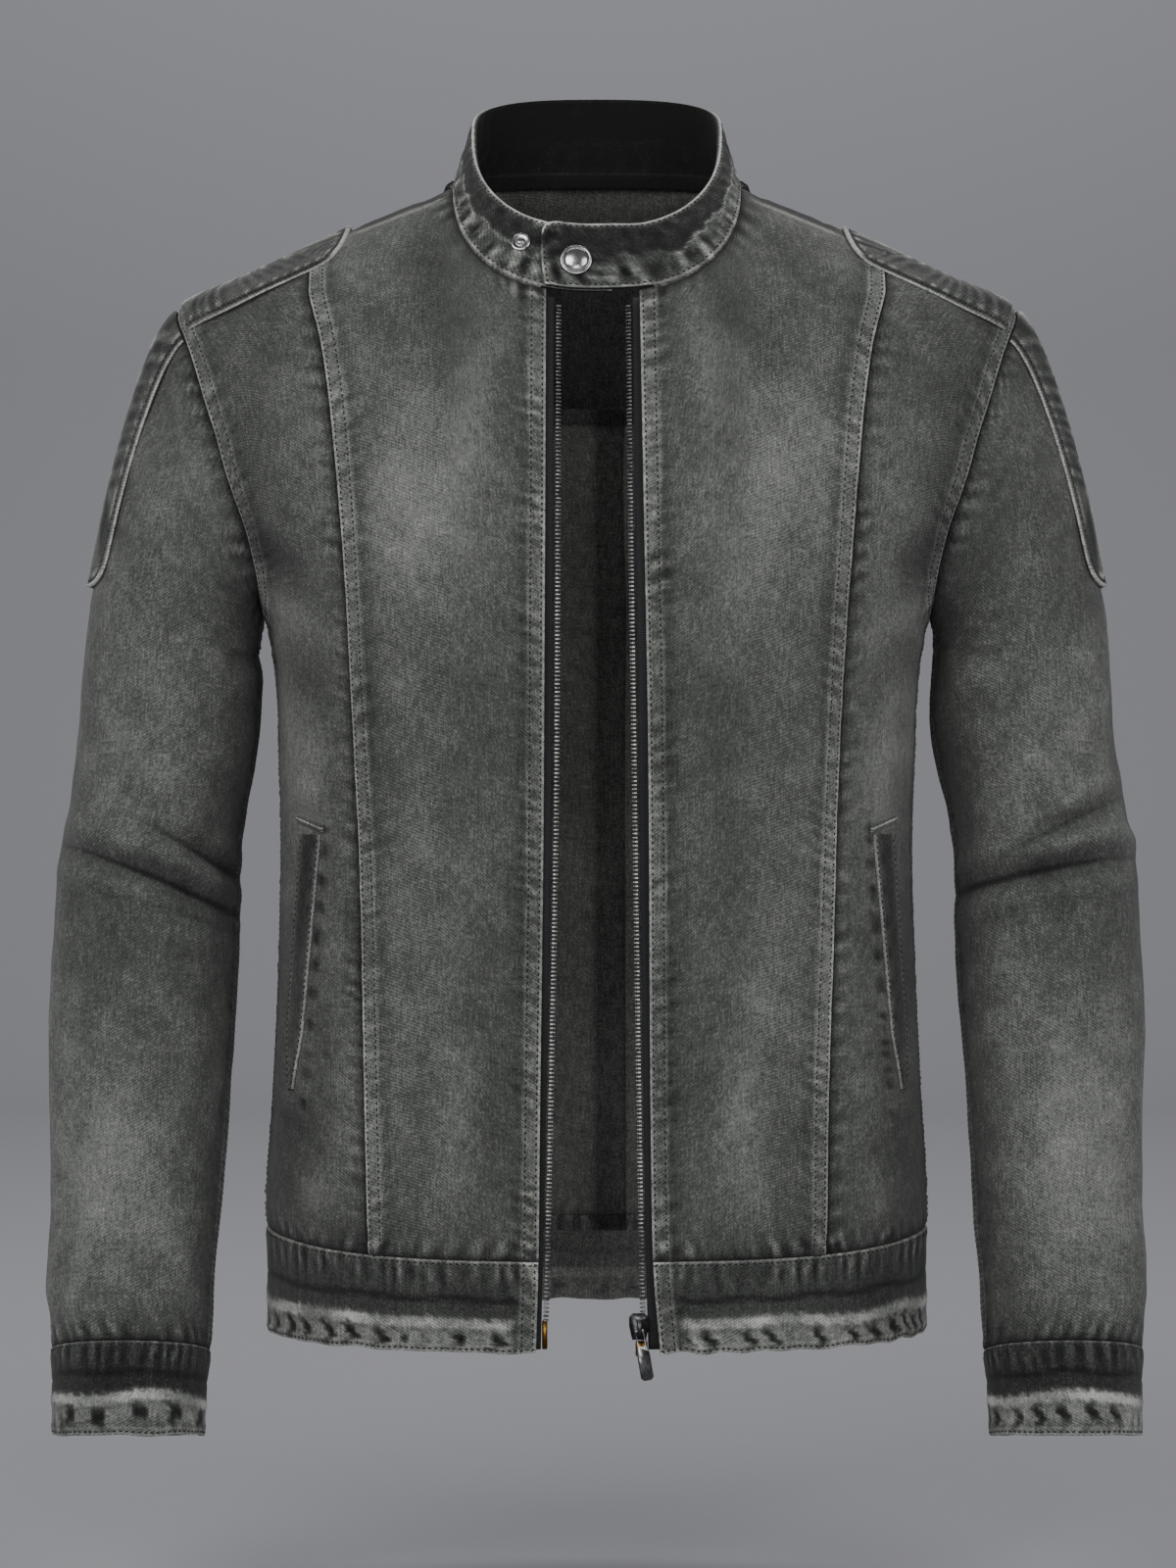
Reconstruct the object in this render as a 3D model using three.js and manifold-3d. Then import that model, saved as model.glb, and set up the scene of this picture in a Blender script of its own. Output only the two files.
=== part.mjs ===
// Denim jacket, filled out as if worn, with nobody in it: a stand collar closed by a snap tab,
// an open front zip, princess-seamed fronts with welt pockets, a yoked back, cuffs and a hem band.
// Millimetres. +Z is up, the front faces -Y and +X is the wearer's left.
// The origin is the middle of the neck opening, level with the inner ends of the shoulder seams.
import * as THREE from 'three';
import { mergeVertices } from 'three/addons/utils/BufferGeometryUtils.js';
import Module from 'manifold-3d';

const wasm = await Module();
wasm.setup();

const { Vector3, Vector2, Matrix4 } = THREE;
const { degToRad: rad, lerp, clamp, smoothstep } = THREE.MathUtils;

// Cloth thicknesses and the play between sewn pieces.
const WALL = 1.5;
const BAND_WALL = 2.2;
const COLLAR_WALL = 2.4;
const PROUD = BAND_WALL - WALL;
const SEAM_GAP = 0.3;

// The body's level sections: half width, and depth before and behind the shoulder line.
const TORSO = [
  { z: 14, side: 79, front: 36, back: 58 },
  { z: 7, side: 81.5, front: 40, back: 60 },
  { z: 0, side: 82, front: 46, back: 62 },
  { z: -20, side: 124.5, front: 58, back: 72 },
  { z: -40, side: 167, front: 70, back: 82 },
  { z: -55, side: 199, front: 79, back: 89 },
  { z: -73, side: 237, front: 88, back: 97 },
  { z: -84, side: 242, front: 93, back: 101 },
  { z: -122, side: 246, front: 106, back: 113 },
  { z: -158, side: 239, front: 116, back: 120 },
  { z: -205, side: 214, front: 124, back: 123 },
  { z: -243, side: 189, front: 128, back: 122 },
  { z: -268, side: 184.5, front: 128, back: 121 },
  { z: -305, side: 180.5, front: 127, back: 118 },
  { z: -380, side: 179, front: 123, back: 113 },
  { z: -450, side: 181, front: 122, back: 114 },
  { z: -530, side: 185, front: 125, back: 121 },
  { z: -580, side: 187.5, front: 127, back: 126 },
  { z: -601, side: 187, front: 125.5, back: 125 },
  { z: -651, side: 187, front: 123.5, back: 123 },
];
const TORSO_POWER = 0.87;
const SHOULDER_TIP = -73;
const HEM = -651;
const BAND_TOP = { middle: -601, side: -593 };

// Neckline and stand collar.
const NECK = { halfWidth: 82, frontDrop: 71, backRise: 14, power: 0.833 };
const COLLAR = {
  halfWidth: 71, sideTop: 34, frontTop: -33, frontDepth: 74, backTop: 57, backDepth: 48,
  start: -87.9, startEdge: -94, end: -459.8, lapFrom: -431.5, lapFull: -446.6, lap: 3.2,
  height: 40, cornerRadius: 9, rows: 3, lapColumns: 5, seam: 1.3, frontRise: 0.84, backRise: 0.7,
  // How much further round the neck the tab reaches at its top, so that its end is upright.
  endLean: -10.2,
};
// Columns of a front's and of the back's neckline, which the collar follows, and of a shoulder.
const NECK_COLUMNS = { front: 8, back: 10, shoulder: 3, share: 0.6 };
const CAP = { x: -11.5, up: 0.43, radius: 9, height: 3.4 };
const STUD = { x: -42.3, up: 0.55, radius: 5.6, height: 2 };

// Each front edge and the line of its zip teeth, as distances from the middle.
const OPENING = {
  left: [
    { z: -68, edge: 23, teeth: 17.6 },
    { z: -183, edge: 24.8, teeth: 18.5 },
    { z: -320, edge: 27.3, teeth: 20.4 },
    { z: -527, edge: 28.8, teeth: 23.4 },
    { z: -600, edge: 30, teeth: 24.6 },
    { z: -651, edge: 34, teeth: 26 },
  ],
  right: [
    { z: -68, edge: 27.7, teeth: 21.7 },
    { z: -183, edge: 27.9, teeth: 21.8 },
    { z: -320, edge: 28.6, teeth: 22.4 },
    { z: -527, edge: 30.8, teeth: 26 },
    { z: -600, edge: 31.6, teeth: 27.6 },
    { z: -651, edge: 33, teeth: 28.9 },
  ],
};

// Princess seam of each front, from the shoulder seam to the hem band.
const PRINCESS = [
  { z: -70, x: 160 },
  { z: -100, x: 152 },
  { z: -140, x: 146 },
  { z: -181, x: 142 },
  { z: -235, x: 138 },
  { z: -299, x: 134.5 },
  { z: -369, x: 131 },
  { z: -449, x: 128.5 },
  { z: -529, x: 126.5 },
  { z: -601, x: 125 },
];
const PRINCESS_TOP = -37;

// Armhole: an oval round the side of the body; turn 0 is the shoulder tip, 90 the front.
const ARMHOLE = { middle: -158, halfHeight: 85, halfAngle: rad(31) };
const ARMPIT = ARMHOLE.middle - ARMHOLE.halfHeight;
const ARMHOLE_ROWS = 10;
const BODY_ROWS = 11;
const SIDE_COLUMNS = 6;
const BACK_COLUMNS = 7;
const BAND_COLUMNS = { front: 9, back: 16 };
const YOKE = { turn: 72, rows: 4, middle: -126 };
// Rough spans of the panels, which turn the play at their seams into a share of each.
const SPANS = {
  centre: { width: 100, height: 530 },
  side: { width: 70, height: 530 },
  yoke: { width: 440, height: 110 },
  back: { width: 190, height: 475 },
  band: 180,
};

// Sleeve sections from the upper arm to the cuff's edge: middle, half width and half depth.
const SLEEVE = [
  { z: -268, x: 243, y: 3, width: 49.8, depth: 62 },
  { z: -305, x: 243.8, y: 3, width: 52.3, depth: 61 },
  { z: -331, x: 246.8, y: 2, width: 52.2, depth: 60 },
  { z: -356, x: 250.5, y: 0, width: 51.2, depth: 58.5 },
  { z: -381, x: 254.8, y: -3, width: 51.8, depth: 57 },
  { z: -455, x: 257, y: -14, width: 52.6, depth: 53 },
  { z: -528, x: 258.6, y: -29, width: 49, depth: 49 },
  { z: -577, x: 258.6, y: -41, width: 47, depth: 46.5 },
  { z: -624, x: 261, y: -52, width: 46, depth: 45.5 },
  { z: -657, x: 259.7, y: -60, width: 43.6, depth: 43.5 },
  { z: -682, x: 259.8, y: -66.6, width: 42.4, depth: 41.8 },
  { z: -708, x: 259.6, y: -73.4, width: 41.6, depth: 40.5 },
];
const SLEEVE_POWER = 0.95;
// A sleeve's two lengths of cloth: the top one runs from its back seam round to the armpit's,
// and is one cloth in two solids that meet at the elbow's crease.
const SLEEVE_SEAMS = { back: -72, under: 180, playTurn: 0.17, elbow: -363 };
const SLEEVE_COLUMNS = { top: 14, under: 6, cuff: 20 };
const CAP_ROWS = 6;
const BICEP = -268;
const WRIST = -657;
const CUFF_END = -707;
// Rows down the sleeve below its cap, close together at the elbow, and down the cuff.
const SLEEVE_ROWS = [
  { from: -290, to: -331, steps: 2 },
  { from: -345, to: -435, steps: 10 },
  { from: -457, to: -656.8, steps: 8 },
];
const CUFF_ROWS = [2.002, 2.12, 2.5, 2.9, 3];
// The sleeve's armhole as a share of the body's, which leaves the play of the seam.
const CAP_SHARE = 0.995;
// How the sleeve leaves the armhole at the shoulder, at the front or back, and at the armpit.
const CAP_START = {
  top: { x: 56, y: 0, z: -25 },
  side: { x: 44, y: -6, z: -46 },
  under: { x: 3, y: 0, z: 46 },
};

// Elbow creases: height at the outer and the inner side, where round the sleeve, and depth.
const ELBOW_CREASES = {
  right: [
    { outer: -372, inner: -418, turn: 92, spread: 105, depth: 5.5, width: 7 },
    { outer: -352, inner: -392, turn: 138, spread: 60, depth: 3.6, width: 6 },
    { outer: -398, inner: -428, turn: 130, spread: 62, depth: 2.6, width: 6 },
    { outer: -368, inner: -402, turn: -92, spread: 80, depth: 3, width: 8 },
  ],
  left: [
    { outer: -386, inner: -404, turn: 92, spread: 105, depth: 5.5, width: 7 },
    { outer: -352, inner: -398, turn: 66, spread: 70, depth: 3.6, width: 6 },
    { outer: -364, inner: -390, turn: 38, spread: 50, depth: 2.6, width: 6 },
    { outer: -376, inner: -412, turn: -92, spread: 80, depth: 3, width: 8 },
  ],
};
const CREASE_BANK = { above: 0.5, below: 0.75, away: 2 };

// Applied patches, pocket welts.
const SHOULDER_PATCH = {
  inner: 139, outer: 234, frontDrop: 20, backDrop: 12, tipBow: 6, endFrom: 0.78,
  rows: [0, 0.1, 0.2, 0.3, 0.4, 0.5, 0.6, 0.7, 0.8, 0.87, 0.93, 0.96, 0.985, 1],
};
const SLEEVE_PATCH = {
  top: 0.012, endFrom: 0.7, bottom: 0.83, halfTurn: 40, endRows: [0, 0.45, 0.72, 0.9, 1],
};
const PATCH_WALL = 1.6;
const PATCH_LIFT = 0.95;
const PATCH_COLUMNS = 8;
const WELT = {
  top: -370, bottom: -512, xTop: 158.5, xBottom: 170.5, width: 12, taper: 0.75, wall: 1.6,
};
const BAR = { above: 1, rise: 6, reach: 15, width: 3, wall: 2.6 };

// Zip: tape, row of teeth, slider, pull tab, retaining box and pin.
const TAPE = { behind: 0.7, under: 11, wall: 1, top: -73, bottom: -649 };
const TEETH = { width: 3.3, wall: 2.4, top: -78, bottomLeft: -643.7, bottomRight: -633 };
const SLIDER = {
  z: -636.5, width: 10.4, foot: 7.4, height: 13.6, plate: 1.3, post: 1.6, postHeight: 6,
};
const BAIL = { height: 4.4, halfLength: 4.6, bar: 1.2, width: 2.6 };
const PULL = {
  bar: 0.8, barOut: 1.9, barDrop: 1.9, tilt: rad(10), eye: 8.6, neck: 4.6, wide: 7, length: 27,
  wall: 1.4, windowWidth: 3.6, windowPlay: 1.6, top: 1, flare: 0.4, bevel: 1.5, shoulder: 3,
};
const BOX = { width: 6.4, height: 8, wall: 3.6, z: -648.5, aside: 1.8 };
const PIN = { width: 2.8, wall: 2.4, length: 15.5 };

const COLOURS = {
  denim: { color: '#535552', roughness: 0.92, metalness: 0 },
  darkDenim: { color: '#3b3d3b', roughness: 0.92, metalness: 0 },
  tape: { color: '#232425', roughness: 0.85, metalness: 0 },
  blackMetal: { color: '#3a3a3c', roughness: 0.4, metalness: 0.9 },
  nickel: { color: '#c9c9c7', roughness: 0.25, metalness: 1 },
  brass: { color: '#8a6a35', roughness: 0.4, metalness: 1 },
};

const jacket = new THREE.Group();

function addPiece(name, geometry, colour, matrix) {
  const mesh = new THREE.Mesh(geometry, new THREE.MeshStandardMaterial(COLOURS[colour]));
  mesh.name = name;
  if (matrix) matrix.decompose(mesh.position, mesh.quaternion, mesh.scale);
  jacket.add(mesh);
}

// Monotone cubic through the rows of a table, so no section swells past its neighbours.
function curveThrough(rows, value, key = 'z') {
  const knots = rows.map((row) => [row[key], row[value]]).sort((p, q) => p[0] - q[0]);
  const slopes = knots.slice(1).map((q, i) => (q[1] - knots[i][1]) / (q[0] - knots[i][0]));
  const tangents = knots.map((_, i) => {
    const [before, after] = [slopes[i - 1], slopes[i]];
    if (before === undefined || after === undefined) return before ?? after;
    return before * after <= 0 ? 0 : (2 * before * after) / (before + after);
  });
  return (at) => {
    let i = 0;
    while (i < knots.length - 2 && at > knots[i + 1][0]) i += 1;
    const [[a, start], [b, end]] = [knots[i], knots[i + 1]];
    const t = clamp((at - a) / (b - a), 0, 1);
    const [h, u] = [b - a, 1 - t];
    const past = at < a ? (at - a) * tangents[i] : at > b ? (at - b) * tangents[i + 1] : 0;
    return start * (1 + 2 * t) * u * u + end * t * t * (3 - 2 * t)
      + h * (tangents[i] * t * u * u - tangents[i + 1] * t * t * u) + past;
  };
}

const bent = (value, power) => Math.sign(value) * Math.abs(value) ** power;
const spread = (count, from = 0, to = 1) =>
  Array.from({ length: count + 1 }, (_, i) => lerp(from, to, i / count));

// The value between two bounds at which a rule stops asking for more.
function whereIt(asksForMore, low, high) {
  let bounds = [low, high];
  for (let halvings = 0; halvings < 30; halvings += 1) {
    const middle = (bounds[0] + bounds[1]) / 2;
    bounds = asksForMore(middle) ? [middle, bounds[1]] : [bounds[0], middle];
  }
  return bounds[0];
}

// A closed wall between two grids of points. A round wall joins its last column to its first.
function wall(outer, inner, round = false) {
  const [rows, columns] = [outer.length, outer[0].length];
  const positions = [...outer.flat(), ...inner.flat()].flatMap((p) => [p.x, p.y, p.z]);
  const at = (layer, i, j) => (layer * rows + i) * columns + (j % columns);
  const triangles = [];
  const quad = (a, b, c, d) => triangles.push(a, b, c, a, c, d);
  const lastColumn = round ? columns : columns - 1;
  for (let j = 0; j < lastColumn; j += 1) {
    for (let i = 0; i < rows - 1; i += 1) {
      quad(at(0, i, j), at(0, i + 1, j), at(0, i + 1, j + 1), at(0, i, j + 1));
      quad(at(1, i, j), at(1, i, j + 1), at(1, i + 1, j + 1), at(1, i + 1, j));
    }
    quad(at(0, 0, j), at(0, 0, j + 1), at(1, 0, j + 1), at(1, 0, j));
    quad(at(0, rows - 1, j), at(1, rows - 1, j), at(1, rows - 1, j + 1), at(0, rows - 1, j + 1));
  }
  for (let i = 0; i < rows - 1 && !round; i += 1) {
    quad(at(0, i, 0), at(1, i, 0), at(1, i + 1, 0), at(0, i + 1, 0));
    quad(at(0, i, lastColumn), at(0, i + 1, lastColumn), at(1, i + 1, lastColumn), at(1, i, lastColumn));
  }
  return closed(positions, triangles);
}

// Indexed geometry with its faces turned outwards.
function closed(positions, triangles) {
  const corner = (index) => new Vector3().fromArray(positions, 3 * index);
  let volume = 0;
  for (let i = 0; i < triangles.length; i += 3) {
    const [a, b, c] = triangles.slice(i, i + 3).map(corner);
    volume += a.dot(b.cross(c));
  }
  const geometry = new THREE.BufferGeometry();
  geometry.setAttribute('position', new THREE.Float32BufferAttribute(positions, 3));
  geometry.setIndex(volume > 0 ? triangles : triangles.reverse());
  return geometry;
}

// A wall over a surface that is given as at(across, down, distance outwards).
function sheet(at, columns, rows, outside, inside, round = false) {
  const grid = (distance) => rows.map((v) => columns.map((u) => at(u, v, distance)));
  return wall(grid(outside), grid(inside), round);
}

const mirrored = (at, sign) => (u, v, distance) => {
  const point = at(u, v, distance);
  point.x *= sign;
  return point;
};

// Moves a point of a surface out along its normal.
function movedOut(surface, u, v, distance, step = 0.004) {
  const du = surface(u + step, v).sub(surface(u - step, v));
  const dv = surface(u, v + step).sub(surface(u, v - step));
  return surface(u, v).addScaledVector(du.cross(dv).normalize(), distance);
}

// The body's surface, by the angle round it from +X and the height.
const torsoSide = curveThrough(TORSO, 'side');
const torsoFront = curveThrough(TORSO, 'front');
const torsoBack = curveThrough(TORSO, 'back');

function torsoPoint(angle, z) {
  const depth = Math.sin(angle) < 0 ? torsoFront(z) : torsoBack(z);
  const across = torsoSide(z) * bent(Math.cos(angle), TORSO_POWER);
  return new Vector3(across, depth * bent(Math.sin(angle), TORSO_POWER), z);
}

const torso = ([angle, z], distance) => movedOut(torsoPoint, angle, z, distance);

// The angle at which the body's surface passes a distance x from the middle.
function angleAt(x, z, face) {
  const share = clamp(x / torsoSide(z), -1, 1);
  return face * Math.acos(bent(share, 1 / TORSO_POWER));
}
const FRONT = -1;
const BACK = 1;
const frontAt = (x, z, distance) => torso([angleAt(x, z, FRONT), z], distance);

// Lines on the body, each as [angle, height].
function neckline(turn, face) {
  const x = NECK.halfWidth * Math.max(0, Math.cos(turn)) ** NECK.power;
  const z = (face === FRONT ? -NECK.frontDrop : NECK.backRise) * Math.sin(turn) ** NECK.power;
  return [angleAt(x, z, face), z];
}

function armhole(turn, size = 1) {
  const angle = -ARMHOLE.halfAngle * size * Math.sin(turn);
  return [angle, ARMHOLE.middle + ARMHOLE.halfHeight * size * Math.cos(turn)];
}

const bandTop = (angle) => lerp(BAND_TOP.middle, BAND_TOP.side, Math.cos(angle) ** 4);
const princessX = curveThrough(PRINCESS, 'x');

function princess(z) {
  const onShoulder = clamp((z - PRINCESS_TOP) / (PRINCESS[0].z - PRINCESS_TOP), 0, 1);
  const x = z > PRINCESS[0].z ? lerp(torsoSide(PRINCESS_TOP), PRINCESS[0].x, onShoulder) : princessX(z);
  return [angleAt(Math.min(x, torsoSide(z)), z, FRONT), z];
}

// A four-sided patch between its border lines, whose points are pairs such as [angle, height].
function patch(left, right, top, bottom) {
  const corners = [left(0), right(0), left(1), right(1)];
  return (s, t) => [0, 1].map((i) => {
    const sides = lerp(left(t)[i], right(t)[i], s);
    const ends = lerp(top(s)[i], bottom(s)[i], t);
    const [a, b, c, d] = corners.map((corner) => corner[i]);
    return sides + ends - lerp(lerp(a, b, s), lerp(c, d, s), t);
  });
}

// Moves the first and last rows of a panel off its seams by half the play.
const inset = (values, size) => values.map((value) =>
  clamp(value, SEAM_GAP / 2 / size, 1 - SEAM_GAP / 2 / size));

function panel(lines, columns, rows, { width, height }, sign) {
  const at = mirrored((s, t, distance) => torso(lines(s, t), distance), sign);
  return sheet(at, inset(columns, width), inset(rows, height), 0, -WALL);
}

// A point seen from the front, [x, height], as [angle, height] just before the shoulder seam.
const OFF_RIDGE = 0.002;
const seenAt = ([x, z]) => [Math.min(angleAt(x, z, FRONT), -OFF_RIDGE), z];
const asSeen = ([angle, z]) => [torsoPoint(angle, z).x, z];

// Rows run past the armpit, so a seam beside the armhole is shared out in the same two parts.
const rowsBeside = (count) => spread(count + BODY_ROWS);
function seamHeight(t, armRows, top, bottom, crowding = 1.8) {
  const share = armRows / (armRows + BODY_ROWS);
  return t < share
    ? lerp(top, ARMPIT, (t / share) ** crowding)
    : lerp(ARMPIT, bottom, (t - share) / (1 - share));
}

// Armhole from a given turn down to the armpit, then the side seam.
function sideLine(t, armRows, fromTurn, face) {
  const share = armRows / (armRows + BODY_ROWS);
  if (t >= share) return [0, lerp(ARMPIT, BAND_TOP.side, (t - share) / (1 - share))];
  const [angle, z] = armhole(lerp(fromTurn, Math.PI, t / share));
  return [-face * angle, z];
}

// The neckline turns sharply at the shoulder seams, so its columns crowd towards them.
const NECK_CROWDING = 1.7;
const crowded = (share) => share ** NECK_CROWDING;
const QUARTER = Math.PI / 2;

// How far round the neckline a front edge starts.
const edgeTurn = (half) =>
  Math.acos((OPENING[half][0].edge / NECK.halfWidth) ** (1 / NECK.power));

// Fronts: a centre panel and a side panel on each half.
function frontPanels(half, sign) {
  const edgeX = curveThrough(OPENING[half], 'edge');
  const topTurn = edgeTurn(half);
  const edgeTop = neckline(topTurn, FRONT)[1];
  const edgeAngle = (z) => angleAt(edgeX(z), z, FRONT);
  const neckShare = NECK_COLUMNS.share;
  const edgeFoot = bandTop(edgeAngle(BAND_TOP.middle));
  const princessFoot = bandTop(princess(BAND_TOP.middle)[0]);
  const princessLine = (t) => princess(seamHeight(t, ARMHOLE_ROWS, PRINCESS_TOP, princessFoot));
  const foot = (from, to) => (s) => {
    const angle = lerp(from, to, s);
    return [angle, bandTop(angle)];
  };
  const edgeLine = (t) => {
    const z = seamHeight(t, ARMHOLE_ROWS, edgeTop, edgeFoot);
    return [edgeX(z), z];
  };
  const centreFoot = foot(edgeAngle(edgeFoot), princess(princessFoot)[0]);
  const seen = patch(
    edgeLine,
    (t) => asSeen(princessLine(t)),
    (s) => asSeen(s < neckShare
      ? neckline(topTurn * crowded(1 - s / neckShare), FRONT)
      : [0, lerp(0, PRINCESS_TOP, (s - neckShare) / (1 - neckShare))]),
    (s) => asSeen(centreFoot(s)),
  );
  const centre = (s, t) => seenAt(seen(s, t < SEAM_GAP / SPANS.centre.height ? 0 : t));
  const side = patch(
    princessLine,
    (t) => sideLine(t, ARMHOLE_ROWS, 0, FRONT),
    (s) => [0, lerp(PRINCESS_TOP, SHOULDER_TIP, s)],
    foot(princess(princessFoot)[0], 0),
  );
  const rows = rowsBeside(ARMHOLE_ROWS);
  const columns = [
    ...spread(NECK_COLUMNS.front, 0, neckShare),
    ...spread(NECK_COLUMNS.shoulder, neckShare, 1).slice(1),
  ];
  addPiece(`front_${half}`, panel(centre, columns, rows, SPANS.centre, sign), 'denim');
  const sideColumns = spread(SIDE_COLUMNS);
  addPiece(`front_side_${half}`, panel(side, sideColumns, rows, SPANS.side, sign), 'denim');
}

// Back: one yoke over both shoulders and two lower panels that meet at the middle.
function backPanels() {
  const turn = rad(YOKE.turn);
  const seam = (share) => {
    const [angle, z] = armhole(turn);
    return [lerp(-angle, Math.PI / 2, share), lerp(z, YOKE.middle, Math.sin(share * Math.PI / 2))];
  };
  const { back: neckColumns, shoulder: ridgeColumns } = NECK_COLUMNS;
  const columns = neckColumns + 2 * ridgeColumns;
  const ridge = ridgeColumns / columns;
  const across = (s) => (s > 0.5 ? 1 - s : s);
  const flipped = (s, [angle, z]) => [s > 0.5 ? Math.PI - angle : angle, z];
  const yoke = patch(
    (t) => { const [angle, z] = armhole(turn * t); return [-angle, z]; },
    (t) => { const [angle, z] = armhole(turn * t); return [Math.PI + angle, z]; },
    (s) => flipped(s, across(s) < ridge
      ? [0, lerp(SHOULDER_TIP, 0, across(s) / ridge)]
      : neckline(QUARTER * crowded((across(s) - ridge) / (0.5 - ridge)), BACK)),
    (s) => flipped(s, seam(2 * across(s))),
  );
  const yokePanel = panel(yoke, spread(columns), spread(YOKE.rows), SPANS.yoke, 1);
  addPiece('back_yoke', yokePanel, 'denim');

  const armRows = ARMHOLE_ROWS - YOKE.rows;
  const lower = patch(
    (t) => [Math.PI / 2, seamHeight(t, armRows, YOKE.middle, BAND_TOP.middle, 1)],
    (t) => sideLine(t, armRows, turn, BACK),
    (s) => seam(1 - s),
    (s) => {
      const angle = lerp(Math.PI / 2, 0, s);
      return [angle, bandTop(angle)];
    },
  );
  for (const [half, sign] of [['left', 1], ['right', -1]]) {
    const rows = rowsBeside(armRows);
    const lowerPanel = panel(lower, spread(BACK_COLUMNS), rows, SPANS.back, sign);
    addPiece(`back_${half}`, lowerPanel, 'denim');
  }
}

// Hem band: a doubled strip in three lengths that meet at the side seams.
function hemBand() {
  const strip = (from, to, columns, sign) => {
    const at = (s, t, distance) => {
      const angle = lerp(from(t), to, s);
      const z = lerp(bandTop(angle) - SEAM_GAP / 2, HEM, t);
      return torso([angle, z], distance);
    };
    return sheet(mirrored(at, sign), inset(spread(columns), SPANS.band), spread(2), PROUD, -WALL);
  };
  for (const [half, sign] of [['left', 1], ['right', -1]]) {
    const edgeX = curveThrough(OPENING[half], 'edge');
    const edge = (t) => {
      const z = lerp(BAND_TOP.middle, HEM, t);
      return angleAt(edgeX(z), z, FRONT);
    };
    const front = strip(edge, 0, BAND_COLUMNS.front, sign);
    addPiece(`hem_band_front_${half}`, front, 'darkDenim');
  }
  addPiece('hem_band_back', strip(() => 0, Math.PI, BAND_COLUMNS.back, 1), 'darkDenim');
}

// Stand collar: one strip that starts under the tab, goes round the neck and laps over itself.
function collarPoint(turn, up) {
  const face = Math.sin(turn) < 0 ? FRONT : BACK;
  const level = Math.abs(Math.sin(turn));
  const [angle, z] = neckline(QUARTER * crowded(Math.asin(clamp(level, 0, 1)) / QUARTER), face);
  const base = torsoPoint(angle, z);
  base.x *= Math.sign(Math.cos(turn)) || 1;
  const depth = face === FRONT ? COLLAR.frontDepth : COLLAR.backDepth;
  const topZ = face === FRONT ? COLLAR.frontTop : COLLAR.backTop;
  const top = new Vector3(
    COLLAR.halfWidth * bent(Math.cos(turn), NECK.power),
    depth * bent(Math.sin(turn), NECK.power),
    lerp(COLLAR.sideTop, topZ, level ** (face === FRONT ? COLLAR.frontRise : COLLAR.backRise)),
  );
  return base.lerp(top, up);
}

function collarLap(turn) {
  return COLLAR.lap * smoothstep(-turn, -rad(COLLAR.lapFrom), -rad(COLLAR.lapFull));
}

function collarOut(turn, up, distance) {
  return movedOut(collarPoint, turn, up, distance + collarLap(turn));
}

function collar() {
  const [start, end] = [rad(COLLAR.start), rad(COLLAR.end)];
  const { height, cornerRadius } = COLLAR;
  const corner = cornerRadius / NECK.halfWidth;
  const edge = (half) => QUARTER * (edgeTurn(half) / QUARTER) ** (1 / NECK_CROWDING);
  const lapStart = -2 * Math.PI - edge('left');
  const turns = [
    start, rad(COLLAR.startEdge),
    ...spread(NECK_COLUMNS.front, edge('right') - Math.PI, -Math.PI),
    ...spread(NECK_COLUMNS.back, -Math.PI, -2 * Math.PI).slice(1),
    ...spread(NECK_COLUMNS.front, -2 * Math.PI, lapStart).slice(1),
    ...spread(COLLAR.lapColumns, lapStart, end + corner).slice(1),
    ...[0.4, 0.7, 0.9, 1].map((k) => end + corner * (1 - k)),
  ];
  const roundness = 0.97;
  const at = (turn, t, distance) => {
    const k = clamp(1 - (turn - end) / corner, 0, 1);
    const cut = (cornerRadius / height) * (1 - Math.sqrt(1 - roundness * k * k));
    const up = lerp(1 - cut, COLLAR.seam / height, t);
    const lean = rad(COLLAR.endLean) * up * smoothstep(-turn, -rad(COLLAR.lapFrom), -end);
    return collarOut(turn + lean, up, distance);
  };
  addPiece('collar', sheet(at, turns, spread(COLLAR.rows), 0, -COLLAR_WALL), 'darkDenim');
}

// Sleeves. A point on one goes by v (0 armhole, 1 upper arm, 2 wrist, 3 cuff end) and by the
// turn round it, from 0 at its outer side towards the front.
const sleeve = Object.fromEntries(
  ['x', 'y', 'width', 'depth'].map((value) => [value, curveThrough(SLEEVE, value)]),
);

function sleeveRing(z, turn) {
  const tilt = Math.atan((sleeve.y(z + 4) - sleeve.y(z - 4)) / 8);
  const forward = sleeve.depth(z) * bent(Math.sin(turn), SLEEVE_POWER);
  return new Vector3(
    sleeve.x(z) + sleeve.width(z) * bent(Math.cos(turn), SLEEVE_POWER),
    sleeve.y(z) - forward * Math.cos(tilt),
    z + forward * Math.sin(tilt),
  );
}

function capPoint(v, turn) {
  const back = Math.sin(turn) < 0;
  const [angle, height] = armhole(turn, CAP_SHARE);
  const from = torsoPoint(angle, height);
  const to = sleeveRing(BICEP, turn);
  const [cos, side] = [Math.cos(turn), Math.sin(turn) ** 2];
  const end = cos > 0 ? CAP_START.top : CAP_START.under;
  const start = new Vector3(
    end.x * cos * cos + CAP_START.side.x * side,
    (back ? -1 : 1) * CAP_START.side.y * side,
    end.z * cos * cos + CAP_START.side.z * side,
  );
  const finish = sleeveRing(BICEP - 5, turn).sub(to).normalize().multiplyScalar(from.distanceTo(to));
  const u = 1 - v;
  return from.multiplyScalar((1 + 2 * v) * u * u)
    .addScaledVector(to, v * v * (3 - 2 * v))
    .addScaledVector(start, v * u * u)
    .addScaledVector(finish, -v * v * u);
}

function sleevePoint(turn, v) {
  if (v < 1) return capPoint(v, turn);
  const z = v < 2 ? lerp(BICEP, WRIST, v - 1) : lerp(WRIST, CUFF_END, v - 2);
  return sleeveRing(z, turn);
}

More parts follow.
